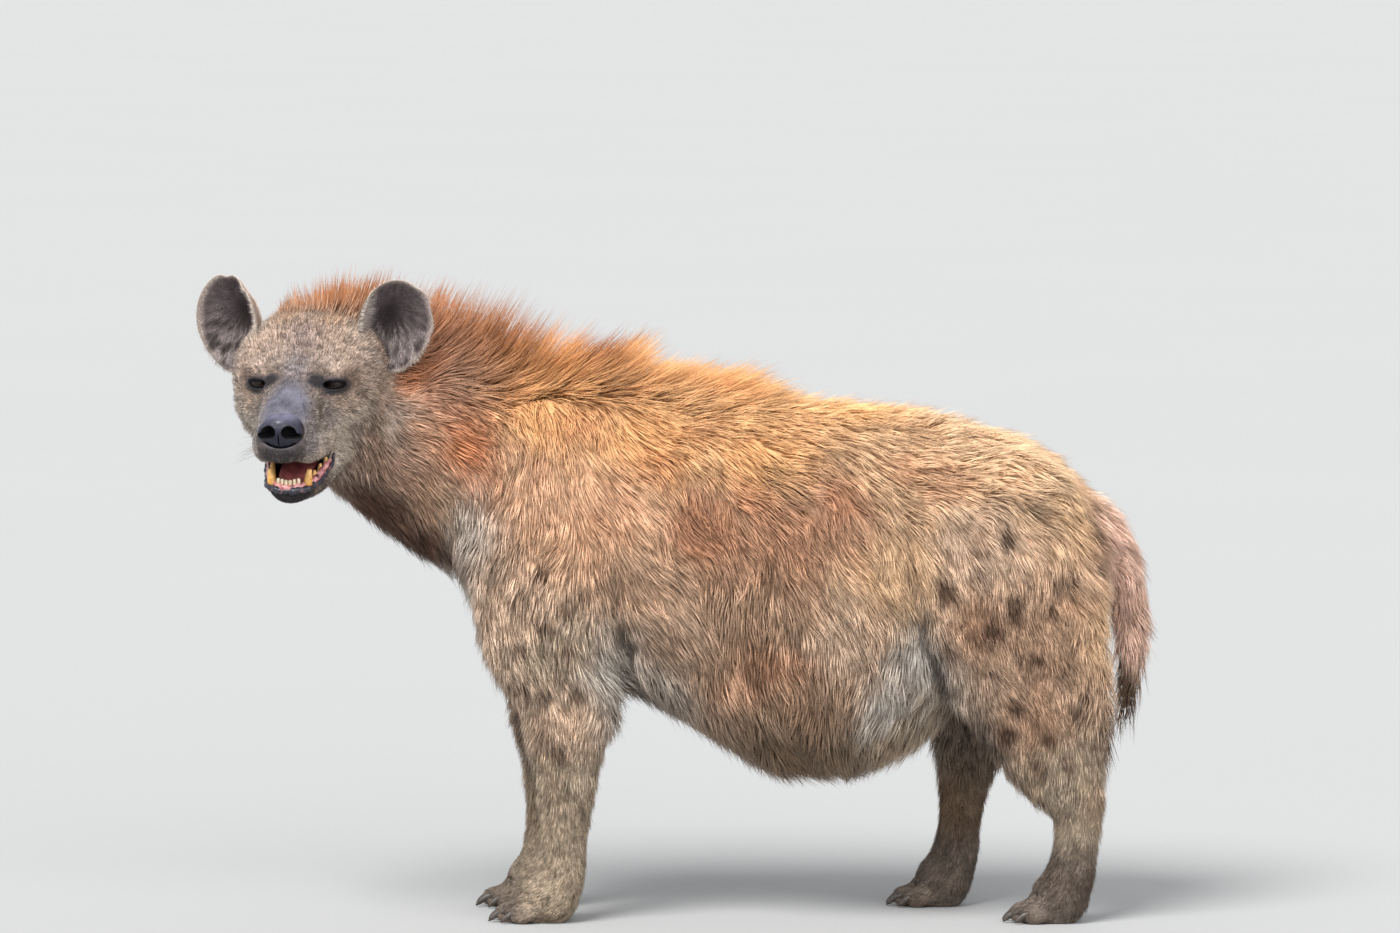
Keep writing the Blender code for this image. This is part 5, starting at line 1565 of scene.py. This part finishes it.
LOWER_LIP = thousandths([
    (6, 55, -98), (22, 52, -108), (42, 46, -119), (62, 40, -128), (80, 31, -134), (93, 14, -137),
    (95, 0, -138),
])


def both_sides(path):
    """The path from the left corner to the middle, then on to the right corner."""
    return list(path) + [(f, -l, u) for f, l, u in path[-2::-1]]


def lip_tube(path, radius, shift=0.0, sink=0.0, surface=None):
    """A tapering tube along the lips, drawn onto the skin where a surface is given."""
    rows = []
    smooth = dense(both_sides(path), 4)
    for i, (f, l, u) in enumerate(smooth):
        at = head_point(f, l + shift, u - sink)
        if surface is not None:
            at = np.array(surface.find_nearest(Vector(at))[0]) * 0.7 + at * 0.3
        share = math.sin(math.pi * (i + 1.5) / (len(smooth) + 2)) ** 0.35
        rows.append((*at, *[radius * share] * 3))
    return tube(rows, UP, around=14, between=2, power=2.0)


def make_lumpy(name, form, waves):
    """A form whose surface goes out and in by waves: height, size and seed."""
    obj = make_solid(name, *form)
    points = read_points(obj)
    lumps = sum(height * ripple(points, size, seed) for height, size, seed in waves)
    write_points(obj, points + read_normals(obj) * lumps[:, None])
    return obj


def build_lip(surface):
    """The black lower lip, full and with a lumpy edge."""
    form = lip_tube(LOWER_LIP, 0.0046, JAW_SHIFT, 0.0015, surface)
    lip = make_lumpy("lip_lower", form, [(0.0014, 0.015, 21), (0.0009, 0.006, 23)])
    settle(lip, lip_finish(), "face")


def gum_path(inwards, rise):
    """The lip's path, drawn in from it and raised. The middle stays in the middle."""
    aside = inwards * 0.9
    return [(f - inwards * 0.5, l - (aside if l > 0.004 else 0.0), u + rise) for f, l, u in LOWER_LIP[1:]]


def build_gums():
    form = lip_tube(gum_path(0.0085, 0.0005), 0.0058, JAW_SHIFT)
    settle(make_lumpy("gums", form, [(0.0015, 0.008, 22)]), gum_finish(), "tongue")


def tooth_form(at, along, wide, deep, length, blunt, bend=0.0, pale=0.0):
    """A worn tooth that tapers to a blunt tip, with how pale each point is."""
    along = unit(along)
    rows = []
    for t in (0.0, 0.25, 0.5, 0.75, 0.92, 1.0):
        taper = 1 - (1 - blunt) * t**1.6
        middle = at + along * length * t - FORWARDS * bend * t**2
        rows.append((*middle, wide * taper, deep * taper, deep * taper))
    points, faces = tube(rows, FORWARDS, around=14, between=1, power=2.0, dome=0.45)
    return points, faces, pale + 0.5 * np.clip((points - at) @ along / length, 0, 1)


def teeth():
    """On each side a canine, three incisors and three cheek teeth."""
    for side in (-1, 1):
        canine = head_point(0.076, 0.0245 * side + JAW_SHIFT, -0.137)
        lean = 0.16 * side * LEFT + 0.10 * FORWARDS
        yield tooth_form(canine, UP + lean, 0.0072, 0.0072, 0.0250, 0.45, 0.003)
        for i in range(3):
            incisor = head_point(0.087 - 0.0016 * i, (0.0029 + 0.0058 * i) * side + JAW_SHIFT, -0.137)
            high = 0.0112 + 0.0010 * i
            yield tooth_form(incisor, UP + 0.10 * FORWARDS, 0.0027, 0.0029, high, 0.85, pale=0.5)
            aside = (0.0295 + 0.0045 * i) * side + JAW_SHIFT
            cheek_tooth = head_point(0.053 - 0.016 * i, aside, -0.131 + 0.006 * i)
            yield tooth_form(cheek_tooth, UP + 0.05 * side * LEFT, 0.0050, 0.0064, 0.0145 + 0.001 * i, 0.35)


def build_teeth():
    points, faces, pale = zip(*teeth())
    obj = make_solid("teeth", *joined(zip(points, faces)), pale=np.concatenate(pale))
    settle(obj, tooth_finish(), "face")


TONGUE = thousandths([
    (-30, -110, 22, 6, 10), (-10, -112, 23, 7, 10), (10, -114, 24, 7, 10), (30, -119, 24, 7, 9),
    (50, -125, 22, 6, 8), (66, -130, 17, 5, 6),
])


def build_tongue():
    """The tongue, with its groove along the middle."""
    points, faces = head_tube(TONGUE, around=40, between=6, dome=0.9, power=2.6)
    forwards, left, up = in_head(points).T
    on_top = up > np.interp(forwards, (-0.03, 0.066), (-0.11, -0.13))
    points = points - UP * (0.0028 * bell(left, 0, 0.0045) * on_top)[:, None] + LEFT * JAW_SHIFT
    tongue = make_solid("tongue_fine", points, faces)
    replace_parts(settle(tongue, tongue_finish(), "tongue"), "tongue")


# ---- ears ----
EAR_HAIR_FINENESS = 0.62  # of the coat's hair width
EAR_HAIRS = (390000, 450000)  # for each square metre of the back and of the dish
EAR_DARK_HAIR = (0.090, 0.070, 0.068)
EAR_PALE_HAIR = (0.62, 0.54, 0.52)
EAR_RINGS = 18
EAR_AROUND = 96
# The folds in the dish: height, angle and its half width, place from middle to rim and its half width
EAR_RIDGES = ((0.0045, 3.9, 0.45, 0.62, 0.16), (0.0030, 5.6, 0.40, 0.66, 0.14))


def ear_axes(side):
    """Up, facing and across for an ear, and its middle, all in the head's axes."""
    up = unit(np.array([-0.10, math.sin(EAR_LEAN) * side, math.cos(EAR_LEAN)]))
    facing = np.array([math.cos(EAR_TURN), math.sin(EAR_TURN) * side, 0.05])
    facing = unit(facing - up * (facing @ up))
    return up, facing, np.cross(up, facing) * side, np.array(EAR_AT) * (1, side, 1)


def ear_point(side, r, angle, outer, wobble=0.0):
    """A point of the dish, r from its middle to its rim; outer is 1 on the back of it."""
    up, facing, across, centre = ear_axes(side)
    nick = sum(deep * bell(angle, at, half) for at, deep, half in EAR_NICKS[side])
    edge = r * (1 - nick * r**3 + wobble * r**6)
    x = EAR_HALF[side][0] * edge * math.cos(angle) * (1.0 + 0.10 * math.sin(angle))
    y = EAR_HALF[side][1] * edge * math.sin(angle) - 0.012 * (1 - r)
    bowl = 0.012 * r**4 * math.cos(angle) ** 2 - EAR_DEPTH * (1 - r**2)
    ridge = 0.0
    for high, at, wide, ring, deep in EAR_RIDGES:
        ridge += high * bell(angle, at, wide) * bell(r, ring, deep)
    at = centre + across * x + up * y + facing * (bowl + ridge * (1 - outer))
    return at - facing * outer * EAR_THICK * (1 - 0.80 * r**3)


def ear_darkness(x, y):
    """1 in the ear's deep hollow and its canal, darkened as painted shade, at a place given as shares of the
    ear's half sizes.
    """
    dark = 0.0
    for (px, py), (wide, high) in (EAR_PIT, EAR_CANAL):
        dark = np.maximum(dark, np.exp(-((((x - px) / wide) ** 2 + ((y - py) / high) ** 2) ** 1.5)))
    return dark


def build_ear(side, word, chance):
    """A dish of rings from its middle to its rim, and rings back to the middle behind it."""
    knots = np.arange(0, EAR_AROUND + 1, 8)
    wobbles = np.interp(np.arange(EAR_AROUND), knots, np.r_[chance.normal(size=len(knots) - 1), 0])
    points, hollow, rim, faces = [], [], [], []
    rings = [(i / EAR_RINGS, 0) for i in range(1, EAR_RINGS + 1)]
    rings += [(r, 1) for r, _ in rings[::-1]]
    for r, outer in rings:
        for j, wobble in enumerate(0.012 * wobbles):
            angle = 2 * math.pi * j / EAR_AROUND
            points.append(head_point(*ear_point(side, r, angle, outer, wobble)))
            hollow.append(ear_darkness(r * math.cos(angle), r * math.sin(angle)) * (1 - outer))
            rim.append(min(1.0, max(0.0, (r - 0.93) / 0.06)) * 0.8 + 0.35 * outer)
    for i in range(len(rings) - 1):
        faces += band(i * EAR_AROUND, (i + 1) * EAR_AROUND, EAR_AROUND)
    count = len(points)
    points += [head_point(*ear_point(side, 0.0, 0.0, outer)) for outer in (0, 1)]
    faces += [(count, (j + 1) % EAR_AROUND, j) for j in range(EAR_AROUND)]
    last = count - EAR_AROUND
    faces += [(count + 1, last + j, last + (j + 1) % EAR_AROUND) for j in range(EAR_AROUND)]
    shades = {"hollow": np.array(hollow + [1.0, 0.0]), "rim": np.array(rim + [0.0, 0.35])}
    return make_solid("ear_fine_" + word, points, faces, **shades)


def ear_parts(x, y):
    """1 along the ear's front edge, low in the ear, and at its rim."""
    front = np.clip((-x - 0.45) * 3.0, 0, 1) * np.clip(1.2 - 1.3 * y, 0, 1)
    return front, np.clip(0.4 - y, 0, 1), fade(-np.hypot(x, y), -0.97, -0.88)


def ear_hair_tint(roots, x, y, is_back):
    """Pale tufts in rays from the dark pit, silver at the rim, and the coat's own tint on the back."""
    front, low, rim = ear_parts(x, y)
    (pit_x, pit_y), _ = EAR_PIT
    turn = np.arctan2(y - pit_y, x - pit_x)
    rays = np.stack([np.cos(turn), np.sin(turn), 0.5 * np.hypot(x, y)], 1)
    tufts = np.clip(0.5 + 0.7 * ripple(rays, 0.20, 30) + 0.5 * ripple(roots, 0.030, 31), 0, 1)
    # Hairs in the hollow and canal stay dark, as painted shade.
    pale = np.clip(0.9 * front + (0.22 + 0.95 * low) * tufts - ear_darkness(x, y), 0, 1)
    inside = mix(mix(np.array([EAR_DARK_HAIR]), EAR_PALE_HAIR, pale), TINTS["silver"], 0.75 * rim)
    back = mix(np.array([TINTS["stone"]]), TINTS["smoke"], 0.45 * rim)
    return np.where(is_back[:, None], back, inside)


def ear_hairs(ear, side, chance):
    """Pale hairs that fan out over the dish, long along its front edge, and a short coat on the back."""
    surface = Surface(ear)
    up, facing, across, centre = ear_axes(side)

    def on_dish(points, normals):
        """Places as shares of the ear's half sizes, and which of them lie on its back."""
        flat = in_head(points) - centre
        back = (normals @ HEAD_FRAME.T) @ facing < 0
        return flat @ across / EAR_HALF[side][0], flat @ up / EAR_HALF[side][1], back

    x, y, is_back = on_dish(surface.points, surface.normals)
    density = np.where(is_back, EAR_HAIRS[0], EAR_HAIRS[1] * (1 - 0.80 * ear_darkness(x, y)))
    roots, normals = surface.scatter(density, chance)
    count = len(roots)
    x, y, is_back = on_dish(roots, normals)
    front, low, rim = ear_parts(x, y)
    (pit_x, pit_y), _ = EAR_PIT
    fan = unit(np.outer(x - pit_x, across) + np.outer(y - pit_y, up))
    fan = mix(fan, across * 0.9 + up * 0.2, front)
    lie = np.where(is_back[:, None], np.outer(x, across) * 0.3 + up, fan) @ HEAD_FRAME
    lift = np.where(is_back, 0.28, 0.20 + 0.25 * front) + chance.normal(0, 0.06, count)
    way = raised(lay_flat(lie, normals), normals, lift)
    length = np.where(is_back, 0.0080, 0.0085 + 0.0080 * low + 0.008 * front)
    length = length * chance.uniform(0.6, 1.15, count) * (1 - 0.60 * rim)
    shift = chance.normal(0, 0.10, (count, 3)) * length[:, None]
    grain = chance.normal(1.0, 0.20, count).clip(0.4, 1.7)[:, None]
    tint = ear_hair_tint(roots, x, y, is_back) * grain
    return Hairs(roots, normals, way, length, shift, tint, tint * 1.15)


def build_ears(chance):
    return {side: build_ear(side, word, chance) for side, word in SIDES}


def dress_ears(ears, chance):
    material, hair_material = ear_finish(), coat_finish()
    for side, word in SIDES:
        hairs = ear_hairs(ears[side], side, chance)
        hairs.build("coat_ear_" + word, "head", hair_material, "ear", EAR_HAIR_FINENESS)
        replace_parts(settle(ears[side], material, "ear"), "ear_" + word)


# ---- whiskers ----
WHISKER_FINENESS = 0.22  # of the coat's hair width
# Rows on the hyena's left: first and last place, how many, length, and the way they point
WHISKER_ROWS = [
    ((0.100, 0.036, -0.070), (0.040, 0.052, -0.070), 6, 0.034, (-0.1, 1.0, -0.1)),
    ((0.098, 0.038, -0.082), (0.036, 0.055, -0.084), 7, 0.040, (-0.1, 1.0, -0.3)),
    ((0.092, 0.038, -0.088), (0.050, 0.054, -0.088), 5, 0.030, (-0.1, 1.0, -0.1)),
    ((0.018, 0.050, 0.030), (0.008, 0.070, 0.026), 4, 0.026, (0.7, 0.4, 0.7)),
]


def build_whiskers(surface, chance):
    """Thin whiskers along the muzzle and over the eyes."""
    rows = []
    for first, last, count, length, way in WHISKER_ROWS:
        for side in (-1, 1):
            for t in np.linspace(0, 1, count):
                place = np.array(first) * (1 - t) + np.array(last) * t + chance.normal(0, 0.0015, 3)
                at, normal, _, _ = surface.find_nearest(Vector(head_point(*(place * (1, side, 1)))))
                bent = np.array(way) * (1, side, 1) + chance.normal(0, 0.12, 3) - (0.5 * t, 0, 0)
                rows.append((at, normal, bent @ HEAD_FRAME, length * chance.uniform(0.75, 1.15)))
    roots, normals, ways, lengths = (np.array(column) for column in zip(*rows))
    shift = np.outer(lengths, (0, 0, -0.18))
    tint = np.array([(0.05, 0.04, 0.035)]) * chance.uniform(0.4, 6.0, (len(roots), 1))
    hairs = Hairs(roots, unit(normals), unit(ways), lengths, shift, tint, tint)
    hairs.build("whiskers", "head", coat_finish(), "face", WHISKER_FINENESS)


# ---- claws ----
CLAW_AHEAD = 0.006
CLAW_HEIGHT = 0.0150
CLAW_LENGTH = 0.021
CLAW_DROP = 0.0085


def claw_form(x, y, size, ahead, across):
    """The claw of a toe, curved down to its tip."""
    root = np.array([x - (ahead + CLAW_AHEAD) * size, y - across * size, CLAW_HEIGHT])
    way = unit(np.array([-1, -across * 4, -0.20]))
    rows = []
    for t in (0.0, 0.3, 0.6, 0.85, 1.0):
        at = root + way * CLAW_LENGTH * t - np.array([0, 0, CLAW_DROP]) * t**2
        taper = (1 - t) ** 0.5
        rows.append((*at, 0.0034 * taper + 0.0011, *[0.0046 * taper + 0.0013] * 2))
    return tube(rows, (0, 0, 1), around=12, between=3, power=2.0)


def build_claws():
    forms = [claw_form(*paw, *toe) for paw in paws() for toe in TOES]
    settle(make_solid("claws", *joined(forms)), claw_finish(), "leg_coat")


# ---- stage ----
AIM_HEIGHT = 0.6435
CAMERA_AWAY = 12.0
CAMERA_ABOVE = math.radians(5)
LENS = 216.0
FLOOR_RADIUS = 110.0
FLOOR_GAP = 0.0004


def look_at(obj, target):
    obj.rotation_euler = (Vector(target) - obj.location).to_track_quat("-Z", "Y").to_euler()


def add_camera():
    target = Vector(HOME) + Vector((0, 0, AIM_HEIGHT))
    camera = add_object("camera", bpy.data.cameras.new("camera"))
    camera.location = target + Vector((0, -math.cos(CAMERA_ABOVE), math.sin(CAMERA_ABOVE))) * CAMERA_AWAY
    camera.data.lens = LENS
    camera.data.sensor_width = 36
    camera.data.clip_end = 300
    look_at(camera, target)
    bpy.context.scene.camera = camera


def add_sun(name, strength, softness, height, round_way):
    """A soft light from far off. round_way is 0 from the camera's side and 90 from the rump's side."""
    light = bpy.data.lights.new(name, "SUN")
    light.energy = strength
    light.angle = math.radians(softness)
    sun = add_object(name, light)
    a, e = math.radians(round_way), math.radians(height)
    sun.location = Vector((math.sin(a) * math.cos(e), -math.cos(a) * math.cos(e), math.sin(e))) * 6
    look_at(sun, (0, 0, 0))


def add_stage():
    """A wide round floor just under the soles, two soft suns and a pale sky."""
    around = 64
    turn = np.linspace(0, 2 * math.pi, around, endpoint=False)
    x, y = FLOOR_RADIUS * np.cos(turn), FLOOR_RADIUS * np.sin(turn)
    floor = make_object("floor", np.stack([x, y, np.full(around, -FLOOR_GAP)], 1), [range(around)])
    floor.data.materials.append(floor_finish())
    add_sun("key", 4.7, 30, 51, -34)
    add_sun("fill", 1.7, 60, 24, 28)
    world = bpy.data.worlds.new("studio")
    world.use_nodes = True
    sky = world.node_tree.nodes["Background"]
    sky.inputs["Color"].default_value = (0.93, 0.96, 1.0, 1)
    sky.inputs["Strength"].default_value = 0.9
    bpy.context.scene.world = world
    bpy.context.scene.view_settings.view_transform = "Standard"


def find_home():
    """From the hyena's own coordinates to the frame's, read from where the eyes are."""
    corners = [corner for node in ("eye_left", "eye_right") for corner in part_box(node)]
    midway = np.array(sum(corners, Vector())) / len(corners)
    return midway - head_point(-EYE_BACK, 0, 0)


def main():
    chance = np.random.default_rng(SEED)
    skin = build_skin()
    ears = build_ears(chance)
    build_coat(skin, ears, chance)
    face = surface_of(skin)
    build_lip(face)
    dress_skin(skin)
    build_eyes()
    build_lids()
    build_nose()
    build_gums()
    build_teeth()
    build_tongue()
    dress_ears(ears, chance)
    build_whiskers(face, chance)
    build_claws()
    add_stage()
    add_camera()


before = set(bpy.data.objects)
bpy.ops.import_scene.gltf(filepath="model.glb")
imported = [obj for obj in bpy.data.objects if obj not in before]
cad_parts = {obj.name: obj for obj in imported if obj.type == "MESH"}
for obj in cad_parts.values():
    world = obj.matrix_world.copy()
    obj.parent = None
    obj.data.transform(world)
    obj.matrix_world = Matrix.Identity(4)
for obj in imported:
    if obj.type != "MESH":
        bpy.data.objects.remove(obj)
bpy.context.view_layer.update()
HOME = find_home()
main()
